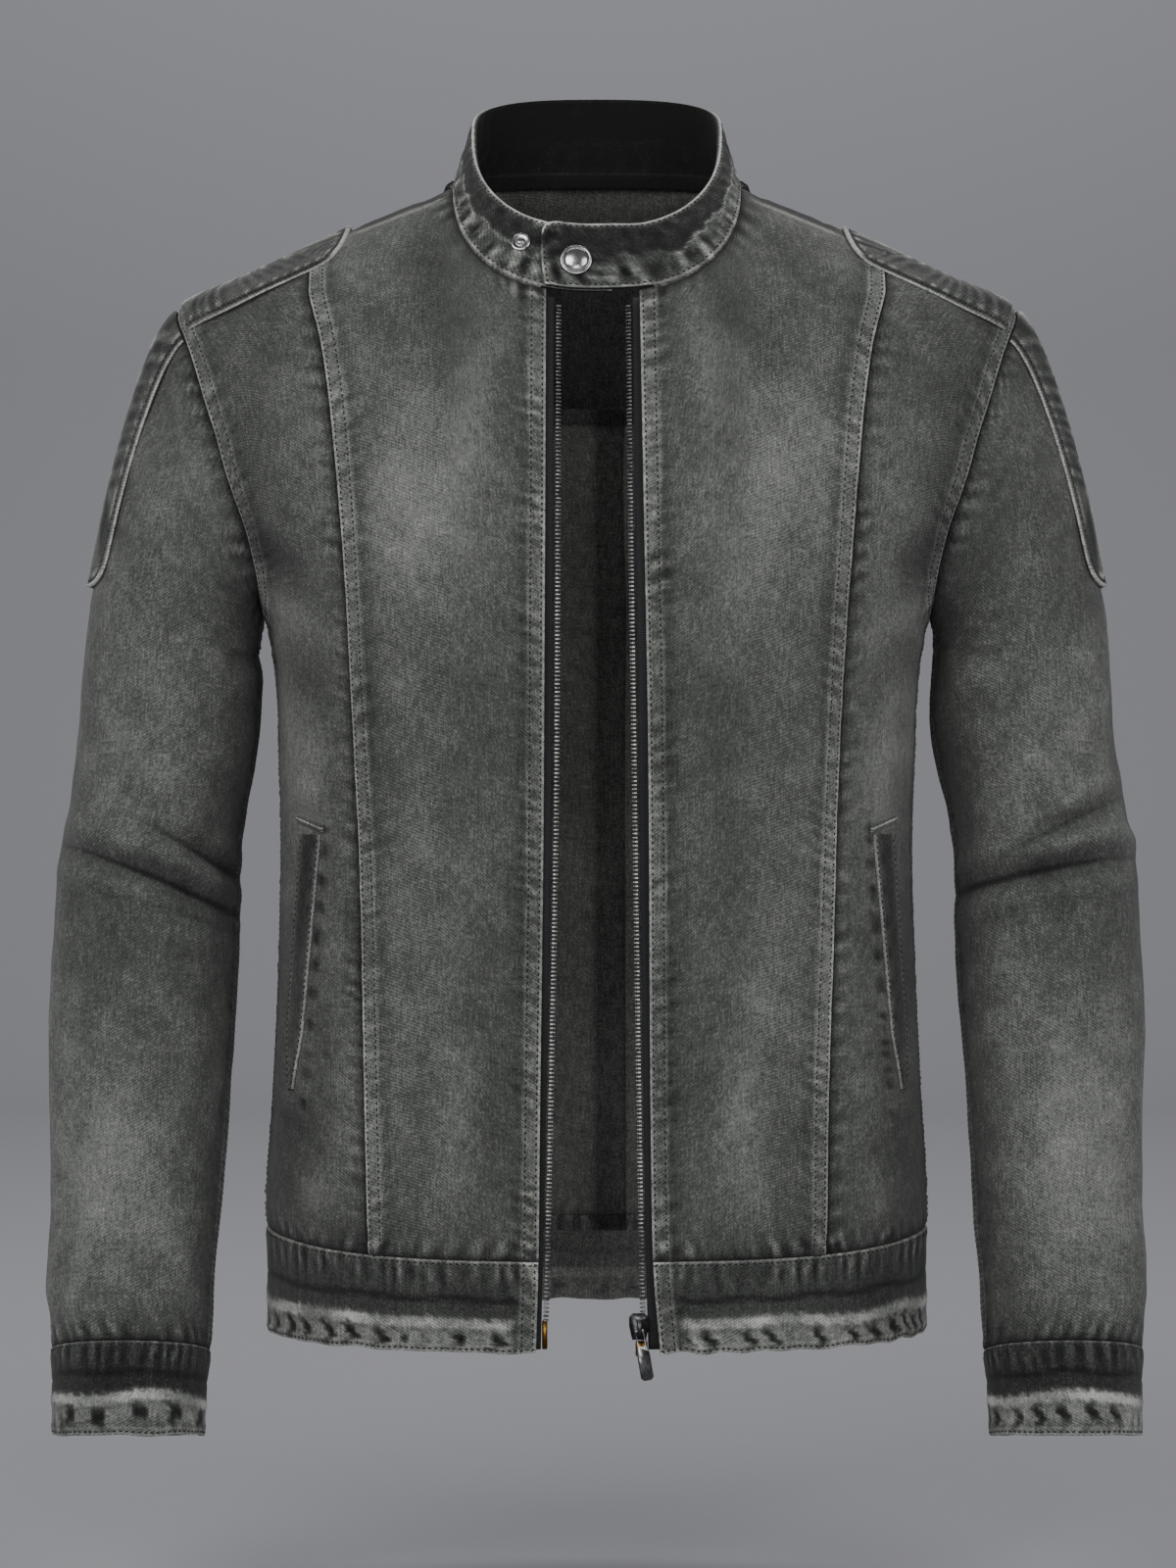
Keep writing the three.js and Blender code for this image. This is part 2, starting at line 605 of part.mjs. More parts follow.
// How far the elbow's creases move the cloth in or out.
function creaseAt(creases, turn, z) {
  return creases.reduce((sum, { outer, inner, turn: middle, spread: reach, depth, width }) => {
    const away = Math.abs(((turn - rad(middle)) / Math.PI + 3) % 2 - 1) * Math.PI;
    if (away > rad(reach)) return sum;
    const line = lerp(outer, inner, (1 - Math.cos(turn)) / 2);
    const hump = (offset) => Math.exp(-(((z - line - offset * width) / width) ** 2));
    const shape = CREASE_BANK.above * hump(CREASE_BANK.away)
      + CREASE_BANK.below * hump(-CREASE_BANK.away) - hump(0);
    return sum + depth * shape * Math.cos((away / rad(reach)) * Math.PI / 2) ** 2;
  }, 0);
}

function sleeveOut(turn, v, distance) {
  if (v <= 0) {
    const [angle, z] = armhole(turn, CAP_SHARE);
    return torso([angle, z], distance);
  }
  return movedOut(sleevePoint, turn, v, distance);
}

function sleeves() {
  const { back, under, playTurn, elbow } = SLEEVE_SEAMS;
  const between = (count, from, to) => spread(count, 0, 1).map((share, i, all) => {
    const play = i === 0 ? playTurn : i === all.length - 1 ? -playTurn : 0;
    return rad(lerp(from, to, share) + play);
  });
  const topTurns = between(SLEEVE_COLUMNS.top, back, under);
  const underTurns = between(SLEEVE_COLUMNS.under, under, back + 360);
  const cuffTurns = spread(SLEEVE_COLUMNS.cuff, 0, 2 * Math.PI).slice(0, -1);
  const heights = SLEEVE_ROWS.flatMap(({ from, to, steps }) => spread(steps, from, to));
  const downTo = (z) => 1 + (z - BICEP) / (WRIST - BICEP);
  const rows = [...spread(CAP_ROWS), ...heights.map(downTo)];
  const [upperEnd, forearmStart] = [downTo(elbow + SEAM_GAP / 2), downTo(elbow - SEAM_GAP / 2)];
  const upperRows = [...rows.filter((v) => v < upperEnd), upperEnd];
  const forearmRows = [forearmStart, ...rows.filter((v) => v > forearmStart)];
  const [cuffOut, cuffIn] = [PROUD / 2, PROUD / 2 - BAND_WALL];
  for (const [half, sign] of [['left', 1], ['right', -1]]) {
    const creased = (turn, v, distance) => {
      const z = lerp(BICEP, WRIST, v - 1);
      return sleeveOut(turn, v, distance + creaseAt(ELBOW_CREASES[half], turn, z));
    };
    const cut = (turns, span) => sheet(mirrored(creased, sign), turns, span, 0, -WALL);
    addPiece(`sleeve_top_${half}`, cut(topTurns, upperRows), 'denim');
    addPiece(`sleeve_forearm_${half}`, cut(topTurns, forearmRows), 'denim');
    addPiece(`sleeve_under_${half}`, cut(underTurns, rows), 'denim');
    const cuff = sheet(mirrored(sleeveOut, sign), cuffTurns, CUFF_ROWS, cuffOut, cuffIn, true);
    addPiece(`cuff_${half}`, cuff, 'darkDenim');
  }
}

// Patches: one along each shoulder seam and one down the outside of each sleeve.
// Both have one rounded end, whose last row is a share of the full width.
function roundEnd(t, from, blunt = 0.3) {
  const k = clamp((t - from) / (1 - from), 0, 1);
  return Math.max(blunt, (1 - k ** 3) ** 0.25);
}

function patches() {
  for (const [half, sign] of [['left', 1], ['right', -1]]) {
    const { inner, outer, frontDrop, backDrop, tipBow } = SHOULDER_PATCH;
    const ridgeZ = (x) => whereIt((z) => torsoSide(z) > x, SHOULDER_TIP, 0);
    const onShoulder = (s, t) => {
      const reach = (2 * s - 1) * roundEnd(t, SHOULDER_PATCH.endFrom);
      const drop = (reach < 0 ? frontDrop : backDrop) * reach * reach;
      const x = lerp(outer - tipBow * reach * reach, inner, t);
      const z = ridgeZ(x) - drop;
      return torsoPoint(angleAt(x, z, reach < 0 ? FRONT : BACK), z);
    };
    const shoulder = sheet(
      mirrored((s, t, distance) => movedOut(onShoulder, s, t, distance), sign),
      spread(PATCH_COLUMNS), SHOULDER_PATCH.rows, PATCH_LIFT + PATCH_WALL, PATCH_LIFT,
    );
    addPiece(`shoulder_patch_${half}`, shoulder, 'darkDenim');

    const { top, bottom, halfTurn, endFrom } = SLEEVE_PATCH;
    const onSleeve = (s, v) => {
      const turn = rad(halfTurn) * (2 * s - 1) * roundEnd(v / bottom, endFrom / bottom);
      return sleevePoint(turn, v);
    };
    const sleeveRows = [
      top, ...spread(7, 1 / 12, 8 / 12),
      ...SLEEVE_PATCH.endRows.map((k) => lerp(endFrom, bottom, k)),
    ];
    const sleevePatch = sheet(
      mirrored((s, t, distance) => movedOut(onSleeve, s, t, distance), sign),
      spread(PATCH_COLUMNS), sleeveRows, PATCH_LIFT + PATCH_WALL, PATCH_LIFT,
    );
    addPiece(`sleeve_patch_${half}`, sleevePatch, 'darkDenim');
  }
}

// Welt pockets: a slanting strip on each side panel, closed at its top by a raised bar.
function welts() {
  for (const [half, sign] of [['left', 1], ['right', -1]]) {
    const strip = (s, t, distance) => {
      const z = lerp(WELT.top, WELT.bottom, t);
      const width = WELT.width * lerp(1, WELT.taper, t);
      return frontAt(lerp(WELT.xTop, WELT.xBottom, t) + (s - 0.5) * width, z, distance);
    };
    const welt = sheet(
      mirrored(strip, sign), spread(2), spread(8), SEAM_GAP + WELT.wall, SEAM_GAP,
    );
    addPiece(`pocket_welt_${half}`, welt, 'darkDenim');
    const tack = (s, t, distance) => {
      const x = WELT.xTop + (s - 0.5) * BAR.reach;
      const z = WELT.top + BAR.above + (1 - t) * BAR.width + s * BAR.rise;
      return frontAt(x, z, distance);
    };
    const bar = sheet(mirrored(tack, sign), spread(4), spread(1), SEAM_GAP + BAR.wall, SEAM_GAP);
    addPiece(`pocket_bar_${half}`, bar, 'denim');
  }
}

// Heights of the rows of a front and of the hem band along the front edge.
function edgeHeights(half) {
  const top = neckline(edgeTurn(half), FRONT)[1];
  const rows = rowsBeside(ARMHOLE_ROWS).map((t) => seamHeight(t, ARMHOLE_ROWS, top, BAND_TOP.middle));
  return [...rows, (BAND_TOP.middle + HEM) / 2];
}

// Zip tapes behind the front edges, and a plain strip for each row of teeth.
function zipSides() {
  const behind = -WALL - TAPE.behind;
  for (const [half, sign] of [['left', 1], ['right', -1]]) {
    const edgeX = curveThrough(OPENING[half], 'edge');
    const teethX = curveThrough(OPENING[half], 'teeth');
    const tape = (s, z, distance) => {
      const x = lerp(teethX(z) + TEETH.width / 2 + SEAM_GAP, edgeX(z) + TAPE.under, s);
      return frontAt(x, z, distance);
    };
    const heights = edgeHeights(half);
    const between = (top, bottom) =>
      [top, ...heights.filter((z) => z < top - 2 && z > bottom + 2), bottom];
    const tapeRows = between(TAPE.top, TAPE.bottom);
    const tapeWall = sheet(mirrored(tape, sign), spread(1), tapeRows, behind, behind - TAPE.wall);
    addPiece(`zip_tape_${half}`, tapeWall, 'tape');
    const row = (s, z, distance) => frontAt(teethX(z) + (s - 0.5) * TEETH.width, z, distance);
    const teethRows = between(TEETH.top, half === 'left' ? TEETH.bottomLeft : TEETH.bottomRight);
    const middle = behind - TAPE.wall / 2;
    const teeth = sheet(
      mirrored(row, sign), spread(1), teethRows, middle + TEETH.wall / 2, middle - TEETH.wall / 2,
    );
    addPiece(`zip_teeth_${half}`, teeth, 'blackMetal');
  }
}

// A frame on the front: local x runs across, y inwards and z up the cloth.
function frameOn(at, u, v, du, dv) {
  const across = at(u + du, v, 0).sub(at(u - du, v, 0)).normalize();
  const rough = at(u, v + dv, 0).sub(at(u, v - dv, 0)).normalize();
  const inwards = rough.clone().cross(across).normalize();
  const up = across.clone().cross(inwards);
  return new Matrix4().makeBasis(across, inwards, up).setPosition(at(u, v, 0));
}

const block = (width, depth, height, x = 0, y = 0, z = 0) =>
  new THREE.BoxGeometry(width, depth, height).translate(x, y, z);

function solid(geometry) {
  const bare = geometry.clone();
  for (const name of ['normal', 'uv']) bare.deleteAttribute(name);
  const merged = mergeVertices(bare, 1e-4);
  return new wasm.Manifold(new wasm.Mesh({
    numProp: 3,
    vertProperties: new Float32Array(merged.attributes.position.array),
    triVerts: new Uint32Array(merged.index.array),
  }));
}

function shell(manifold) {
  const mesh = manifold.getMesh();
  return closed(Array.from(mesh.vertProperties), Array.from(mesh.triVerts));
}

const joined = (...pieces) => shell(pieces.map(solid).reduce((all, piece) => all.add(piece)));

// A plate cut from an outline in x and z, from its inner face outwards.
function plate(points, thick, inner, hole) {
  const outline = new THREE.Shape(points.map(([x, z]) => new Vector2(x, z)));
  if (hole) outline.holes.push(new THREE.Path(hole.map(([x, z]) => new Vector2(x, z))));
  return new THREE.ExtrudeGeometry(outline, { depth: thick, bevelEnabled: false })
    .rotateX(Math.PI / 2).translate(0, inner, 0);
}

// Slider on the wearer's left, with its bail; the pull tab hangs from the bail.
function zipHardware() {
  const teethLeft = curveThrough(OPENING.left, 'teeth');
  const teethRight = curveThrough(OPENING.right, 'teeth');
  const middle = WALL + TAPE.behind + TAPE.wall / 2;
  const clear = middle - TEETH.wall / 2 - SEAM_GAP;
  const halfTop = SLIDER.width / 2;
  const halfFoot = SLIDER.foot / 2;
  const half = SLIDER.height / 2;
  const outline = [
    [-halfTop, half - 2], [-halfTop + 2, half], [halfTop - 2, half], [halfTop, half - 2],
    [halfTop, 0], [halfFoot, -half], [-halfFoot, -half], [-halfTop, 0],
  ];
  const front = plate(outline, SLIDER.plate, clear);
  const back = plate(outline, SLIDER.plate, 2 * middle - clear + SLIDER.plate);
  const postDepth = 2 * (middle - clear) + SLIDER.plate;
  const post = block(SLIDER.post, postDepth, SLIDER.postHeight, 0, middle, half - SLIDER.postHeight / 2);
  const outer = clear - SLIDER.plate;
  const { height, halfLength, bar, width } = BAIL;
  const arch = block(width, height, 2 * halfLength, 0, outer - height / 2, 0);
  const gapHeight = height - bar;
  const gap = block(width + 2, gapHeight, 2 * (halfLength - bar), 0, outer - gapHeight / 2, 0);
  const bail = solid(arch).subtract(solid(gap));
  const slider = [front, back, post].map(solid).reduce((all, piece) => all.add(piece));
  const sunk = bail.translate(0, 0.05, 0);

  const sliderX = teethLeft(SLIDER.z) - TEETH.width / 2 - SEAM_GAP - SLIDER.post / 2 - 0.1;
  const frame = frameOn(frontAt, sliderX, SLIDER.z, 2, 6);
  addPiece('zip_slider', shell(slider.add(sunk)), 'blackMetal', frame);

  const { eye, neck, wide, length, wall: thick, windowWidth, bevel } = PULL;
  const rightHalf = [
    [neck / 2, PULL.top], [neck / 2 + PULL.flare, -eye - PULL.top],
    [wide / 2, -eye - PULL.top - PULL.shoulder], [wide / 2, -length + bevel],
    [wide / 2 - bevel, -length],
  ];
  const leftHalf = rightHalf.map(([x, z]) => [-x, z]).reverse();
  const w = windowWidth / 2;
  const [windowTop, windowFoot] = [PULL.bar - PULL.windowPlay, PULL.bar / 2 - eye];
  const window = [[-w, windowTop], [-w, windowFoot], [w, windowFoot], [w, windowTop]];
  const tab = plate([...leftHalf, ...rightHalf], thick, thick / 2, window);
  const crossbar = new THREE.CylinderGeometry(PULL.bar, PULL.bar, neck - 0.2, 10).rotateZ(Math.PI / 2);
  const hang = frame.clone()
    .multiply(new Matrix4().makeTranslation(0, outer - PULL.barOut, -PULL.barDrop))
    .multiply(new Matrix4().makeRotationY(-PULL.tilt));
  addPiece('zip_pull', joined(tab, crossbar), 'nickel', hang);

  const boxFrame = frameOn(frontAt, teethLeft(BOX.z) - BOX.aside, BOX.z, 2, 3);
  addPiece('zip_box', block(BOX.width, BOX.wall, BOX.height, 0, middle, 0), 'brass', boxFrame);
  const pinZ = TEETH.bottomRight - SEAM_GAP - PIN.length / 2;
  const pinFrame = frameOn(frontAt, teethRight(pinZ), pinZ, 2, 6);
  const pinMirror = new Matrix4().makeScale(-1, 1, 1);
  const pinShape = block(PIN.width, PIN.wall, PIN.length, 0, middle, 0);
  pinShape.applyMatrix4(pinMirror.multiply(pinFrame));
  addPiece('zip_pin', closed(Array.from(pinShape.attributes.position.array),
    Array.from(pinShape.index.array)), 'brass');
}

// Snap: a domed cap on the tab, and the bare stud that it leaves on the other end.
function snaps() {
  const seat = (x, up, lap) => {
    const turn = whereIt((at) => collarPoint(at, up).x < x, -Math.PI, 0);
    return frameOn(collarOut, lap ? turn - 2 * Math.PI : turn, up, 0.02, 0.05);
  };
  const turned = (profile) => {
    const points = profile.map(([r, h]) => new Vector2(r, h));
    return new THREE.LatheGeometry(points, 24);
  };
  const { radius: r, height: h } = CAP;
  const cap = turned([
    [0, 0], [r * 0.94, 0], [r, h * 0.16], [r * 0.97, h * 0.4], [r * 0.84, h * 0.5],
    [r * 0.74, h * 0.4], [r * 0.66, h * 0.62], [r * 0.45, h * 0.88], [r * 0.22, h * 0.98], [0, h],
  ]);
  const { radius: sr, height: sh } = STUD;
  const stud = turned([
    [0, 0], [sr, 0], [sr, sh * 0.4], [sr * 0.84, sh * 0.62], [sr * 0.55, sh * 0.36],
    [sr * 0.34, sh * 0.36], [sr * 0.3, sh], [0, sh],
  ]);
  const outwards = new Matrix4().makeRotationX(Math.PI);
  for (const [name, geometry, { x, up }, lap] of [
    ['snap_cap', cap, CAP, true], ['snap_stud', stud, STUD, false],
  ]) {
    const lift = new Matrix4().makeTranslation(0, -SEAM_GAP, 0);
    const frame = seat(x, up, lap).multiply(lift).multiply(outwards);
    addPiece(name, shell(solid(geometry)), 'nickel', frame);
  }
}

frontPanels('left', 1);
frontPanels('right', -1);
backPanels();
hemBand();
collar();
sleeves();
patches();
welts();
zipSides();
zipHardware();
snaps();

export default jacket;
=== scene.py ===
import math
import bmesh
import bpy
import numpy as np
from mathutils import Matrix, Vector


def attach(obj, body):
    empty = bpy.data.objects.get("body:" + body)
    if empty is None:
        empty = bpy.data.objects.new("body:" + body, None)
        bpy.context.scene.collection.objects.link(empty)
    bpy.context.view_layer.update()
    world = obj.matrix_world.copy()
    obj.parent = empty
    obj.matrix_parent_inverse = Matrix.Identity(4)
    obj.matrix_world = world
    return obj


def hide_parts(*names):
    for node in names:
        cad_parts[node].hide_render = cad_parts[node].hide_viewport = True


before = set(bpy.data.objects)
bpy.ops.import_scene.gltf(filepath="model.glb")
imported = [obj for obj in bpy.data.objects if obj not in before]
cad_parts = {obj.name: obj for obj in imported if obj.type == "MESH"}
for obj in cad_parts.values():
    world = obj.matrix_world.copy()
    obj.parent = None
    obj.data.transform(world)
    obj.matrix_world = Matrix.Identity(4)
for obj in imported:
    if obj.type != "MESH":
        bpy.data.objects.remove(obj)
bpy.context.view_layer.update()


# Studio: a camera level with the chest, a pale floor that sweeps up behind the jacket, and
# large soft lights. The camera stands far enough back that the sleeves aren't drawn out, and the
# floor rises far enough back that the jacket can be seen from behind too.
CAMERA_PLACE = (-0.005, -2.4, -0.342)
VIEW_HEIGHT = 0.896
SENSOR = 36
FLOOR = {"level": -0.8, "front": -4.8, "bend_from": 3.5, "bend_radius": 1.2, "top": 5, "half": 5.2}


def linear(hex_colour):
    """An sRGB hex colour as linear RGBA."""
    parts = [int(hex_colour[i:i + 2], 16) / 255 for i in (1, 3, 5)]
    return tuple(c / 12.92 if c <= 0.04045 else ((c + 0.055) / 1.055) ** 2.4 for c in parts) + (1,)


def add(tree, kind, inputs=None, **settings):
    """Adds a node with its settings. Each input is a value, or another node's output to link."""
    made = tree.nodes.new(kind)
    for name, value in settings.items():
        setattr(made, name, value)
    for socket, value in (inputs or {}).items():
        if isinstance(value, bpy.types.NodeSocket):
            tree.links.new(value, made.inputs[socket])
        else:
            made.inputs[socket].default_value = value
    return made


def new_material(name):
    material = bpy.data.materials.new(name)
    material.use_nodes = True
    material.node_tree.nodes.clear()
    return material, material.node_tree


def finish_material(tree, shader):
    add(tree, "ShaderNodeOutputMaterial", {"Surface": shader.outputs[0]})


def new_object(name, mesh, material=None):
    made = bpy.data.objects.new(name, mesh)
    bpy.context.scene.collection.objects.link(made)
    if material:
        mesh.materials.clear()
        mesh.materials.append(material)
    return made


camera = bpy.data.objects.new("camera", bpy.data.cameras.new("camera"))
bpy.context.scene.collection.objects.link(camera)
camera.location = CAMERA_PLACE
camera.rotation_euler = (math.pi / 2, 0, 0)
camera.data.sensor_width = SENSOR
camera.data.lens = SENSOR * -CAMERA_PLACE[1] / VIEW_HEIGHT
bpy.context.scene.camera = camera

# Matte painted paper: one even pale grey with a faint tooth.
paper, paper_tree = new_material("pale_paper")
tooth = add(paper_tree, "ShaderNodeTexNoise", {"Scale": 300.0, "Detail": 2.0})
tooth_bump = add(paper_tree, "ShaderNodeBump", {"Strength": 0.05, "Height": tooth.outputs["Fac"]})
finish_material(paper_tree, add(paper_tree, "ShaderNodeBsdfPrincipled", {
    "Base Color": linear("#8e8e93"), "Roughness": 0.85, "Normal": tooth_bump.outputs["Normal"]}))

sweep = [(FLOOR["front"], FLOOR["level"]), (FLOOR["bend_from"], FLOOR["level"])]
for step in range(1, 25):
    turn = step / 24 * math.pi / 2
    sweep.append((FLOOR["bend_from"] + FLOOR["bend_radius"] * math.sin(turn),
                  FLOOR["level"] + FLOOR["bend_radius"] * (1 - math.cos(turn))))
sweep.append((sweep[-1][0], FLOOR["top"]))
floor_mesh = bpy.data.meshes.new("floor")
floor_mesh.from_pydata(
    [(x, y, z) for y, z in sweep for x in (-FLOOR["half"], FLOOR["half"])], [],
    [(2 * i, 2 * i + 1, 2 * i + 3, 2 * i + 2) for i in range(len(sweep) - 1)])
floor_mesh.shade_smooth()
new_object("floor", floor_mesh, paper)

LIGHTS = [
    # name, place, target, width and height in metres, watts
    ("key_left", (-1.5, -2.1, 1.3), (0, 0, -0.3), (1.8, 1.8), 46),
    ("key_right", (1.7, -2.0, 0.9), (0, 0, -0.35), (1.6, 1.8), 30),
    ("low_front", (0.1, -2.3, -0.75), (0, 0, -0.45), (2.4, 0.6), 7),
    ("top_back", (0.0, 1.0, 1.7), (0, 0, -0.2), (2.2, 0.7), 26),
    ("fill", (0.0, -2.7, -0.1), (0, 0, -0.35), (1.0, 1.0), 13),
    ("edge_left", (-2.2, 0.9, 0.0), (0, 0, -0.4), (0.3, 1.6), 16),
    ("edge_right", (2.2, 0.9, 0.0), (0, 0, -0.4), (0.3, 1.6), 12),
    ("backdrop", (0.0, 2.4, 2.6), (0, 4.7, 0.3), (4.0, 0.8), 80),
]
for name, place, target, (width, height), watts in LIGHTS:
    lamp = bpy.data.lights.new(name, "AREA")
    lamp.shape, lamp.size, lamp.size_y, lamp.energy = "RECTANGLE", width, height, watts
    lit = bpy.data.objects.new(name, lamp)
    bpy.context.scene.collection.objects.link(lit)
    lit.location, lit.visible_camera = place, False
    lit.rotation_euler = (Vector(target) - Vector(place)).to_track_quat("-Z", "Y").to_euler()

world = bpy.data.worlds.new("studio")
world.use_nodes = True
world.node_tree.nodes["Background"].inputs["Color"].default_value = linear("#c4c6ca")
world.node_tree.nodes["Background"].inputs["Strength"].default_value = 0.22
bpy.context.scene.world = world


# Fronts: a centre panel and a side panel on each half, cut in washed charcoal denim. The centre
# panel laps over the side panel at the princess seam and is sewn down with two rows of stitches.
def sizes(columns, *rows):
    """A table of millimetre sizes under named columns, as a dictionary of metres."""
    return {name: np.array(values) / 1000 for name, values in zip(columns.split(), zip(*rows))}


BODY = sizes(
    "z side front back",
    (14, 79, 36, 58), (7, 81.5, 40, 60), (0, 82, 46, 62), (-20, 124.5, 58, 72),
    (-40, 167, 70, 82), (-55, 199, 79, 89), (-73, 237, 88, 97), (-84, 242, 93, 101),
    (-122, 246, 106, 113), (-158, 239, 116, 120), (-205, 214, 124, 123), (-243, 189, 128, 122),
    (-268, 184.5, 128, 121), (-305, 180.5, 127, 118), (-380, 179, 123, 113), (-450, 181, 122, 114),
    (-530, 185, 125, 121), (-580, 187.5, 127, 126), (-601, 187, 125.5, 125), (-651, 187, 123.5, 123))
BODY_POWER = 0.87
SHOULDER_TIP = -0.073
HEM = -0.651
BAND_MIDDLE, BAND_SIDE = -0.601, -0.593
NECK_SIDE, NECK_FRONT, NECK_BACK, NECK_POWER, NECK_CROWDING = 0.082, -0.071, 0.014, 0.833, 1.7
NECK_SHARE = 0.6
OPENING = {
    1: sizes("z edge teeth", (-68, 23, 17.6), (-183, 24.8, 18.5), (-320, 27.3, 20.4),
             (-527, 28.8, 23.4), (-600, 30, 24.6), (-651, 34, 26)),
    -1: sizes("z edge teeth", (-68, 27.7, 21.7), (-183, 27.9, 21.8), (-320, 28.6, 22.4),
              (-527, 30.8, 26), (-600, 31.6, 27.6), (-651, 33, 28.9)),
}
PRINCESS = sizes("z x", (-70, 160), (-100, 152), (-140, 146), (-181, 142), (-235, 138),
                 (-299, 134.5), (-369, 131), (-449, 128.5), (-529, 126.5), (-601, 125))
PRINCESS_TOP = -0.037
ARM_MIDDLE, ARM_HALF, ARM_ANGLE = -0.158, 0.085, math.radians(31)
ARMPIT = ARM_MIDDLE - ARM_HALF
ARM_ROWS, LOW_ROWS = 10, 11
WALL = 0.0015
SEAM_PLAY = 0.00015
FRONT, BACK = -1, 1
QUARTER = math.pi / 2
WELT_TOP, WELT_BOTTOM, WELT_X = -0.370, -0.512, (0.1585, 0.1705)
HALVES = {1: "left", -1: "right"}
OFF_RIDGE = 0.002
PITCH = 0.003
# Distances from a border at which a sewn edge needs columns of its own.
EDGE_STEPS = np.array([0, 0.35, 0.8, 1.4, 2.1, 2.9, 3.8, 4.8, 5.8, 6.8, 7.8, 8.9, 10.2, 12, 14]) / 1000
TONGUE_STEPS = np.array([0.5, 1.1, 2, 4, 7, 9]) / 1000


def through(table, value, key="z"):
    """A smooth curve through two columns of a table that never swells past its rows."""
    order = np.argsort(table[key])
    at, worth = table[key][order], table[value][order]
    slope = np.diff(worth) / np.diff(at)
    before, after = slope[:-1], slope[1:]
    total = np.where(before * after > 0, before + after, 1)
    inner = np.where(before * after > 0, 2 * before * after / total, 0)
    tangent = np.concatenate([slope[:1], inner, slope[-1:]])

    def curve(x):
        x = np.asarray(x, float)
        i = np.clip(np.searchsorted(at, x) - 1, 0, len(at) - 2)
        h = at[i + 1] - at[i]
        t = np.clip((x - at[i]) / h, 0, 1)
        u = 1 - t
        past = np.minimum(x - at[0], 0) * tangent[0] + np.maximum(x - at[-1], 0) * tangent[-1]
        return (worth[i] * (1 + 2 * t) * u * u + worth[i + 1] * t * t * (3 - 2 * t)
                + h * (tangent[i] * t * u * u - tangent[i + 1] * t * t * u) + past)
    return curve


def lerp(a, b, t):
    return a + (b - a) * t


def bent(value, power):
    return np.sign(value) * np.abs(value) ** power


def unit(vectors):
    return vectors / np.maximum(np.linalg.norm(vectors, axis=-1, keepdims=True), 1e-12)


def normal_of(surface, u, v, du=2e-3, dv=2e-5):
    across = surface(u + du, v) - surface(u - du, v)
    return unit(np.cross(across, surface(u, v + dv) - surface(u, v - dv)))


body_side, body_front, body_back = (through(BODY, name) for name in ("side", "front", "back"))
princess_x = through(PRINCESS, "x")
edge_x = {side: through(OPENING[side], "edge") for side in HALVES}
teeth_x = {side: through(OPENING[side], "teeth") for side in HALVES}


def body_point(angle, z):
    depth = np.where(np.sin(angle) < 0, body_front(z), body_back(z))
    return np.stack([body_side(z) * bent(np.cos(angle), BODY_POWER),
                     depth * bent(np.sin(angle), BODY_POWER), z + 0 * angle], -1)


def angle_at(x, z, face):
    return face * np.arccos(bent(np.clip(x / body_side(z), -1, 1), 1 / BODY_POWER))


def neckline(turn, face):
    x = NECK_SIDE * np.maximum(0, np.cos(turn)) ** NECK_POWER
    z = (NECK_FRONT if face == FRONT else NECK_BACK) * np.sin(turn) ** NECK_POWER
    return angle_at(x, z, face), z


def armhole(turn, size=1.0):
    return -ARM_ANGLE * size * np.sin(turn), ARM_MIDDLE + ARM_HALF * size * np.cos(turn)


def band_top(angle):
    return lerp(BAND_MIDDLE, BAND_SIDE, np.cos(angle) ** 4)


def princess(z):
    share = np.clip((z - PRINCESS_TOP) / (-0.07 - PRINCESS_TOP), 0, 1)
    x = np.where(z > -0.07, lerp(body_side(PRINCESS_TOP), 0.16, share), princess_x(z))
    return angle_at(np.minimum(x, body_side(z)), z, FRONT), z


def seam_height(t, arm_rows, top, bottom, crowding=1.8):
    share = arm_rows / (arm_rows + LOW_ROWS)
    return np.where(t < share, lerp(top, ARMPIT, bent(np.minimum(t, share) / share, crowding)),
                    lerp(ARMPIT, bottom, (t - share) / (1 - share)))


def seam_shares(heights, arm_rows, top, bottom, crowding=1.8):
    """The shares down a seam at which seam_height reaches the given heights."""
    share = arm_rows / (arm_rows + LOW_ROWS)
    upper = share * bent((top - heights) / (top - ARMPIT), 1 / crowding)
    lower = share + (1 - share) * (ARMPIT - heights) / (ARMPIT - bottom)
    return np.where(heights > ARMPIT, upper, lower)


def side_line(t, arm_rows, from_turn, face):
    share = arm_rows / (arm_rows + LOW_ROWS)
    angle, z = armhole(lerp(from_turn, math.pi, np.minimum(t / share, 1)))
    low = lerp(ARMPIT, BAND_SIDE, (t - share) / (1 - share))
    return np.where(t < share, -face * angle, 0), np.where(t < share, z, low)


def patch(left, right, top, bottom):
    """A four-sided patch between its border lines, each of which gives two coordinates."""
    def lines(s, t):
        found = []
        for i in (0, 1):
            a, b, c, d = (f(np.array(end))[i] for f, end in
                          ((left, 0.0), (right, 0.0), (left, 1.0), (right, 1.0)))
            sides = lerp(left(t)[i], right(t)[i], s)
            ends = lerp(top(s)[i], bottom(s)[i], t)
            found.append(sides + ends - lerp(lerp(a, b, s), lerp(c, d, s), t))
        return found
    return lines


def on_body(lines):
    def at(s, t):
        angle, z = lines(s, t)
        return body_point(angle, z), normal_of(body_point, angle, z)
    return at


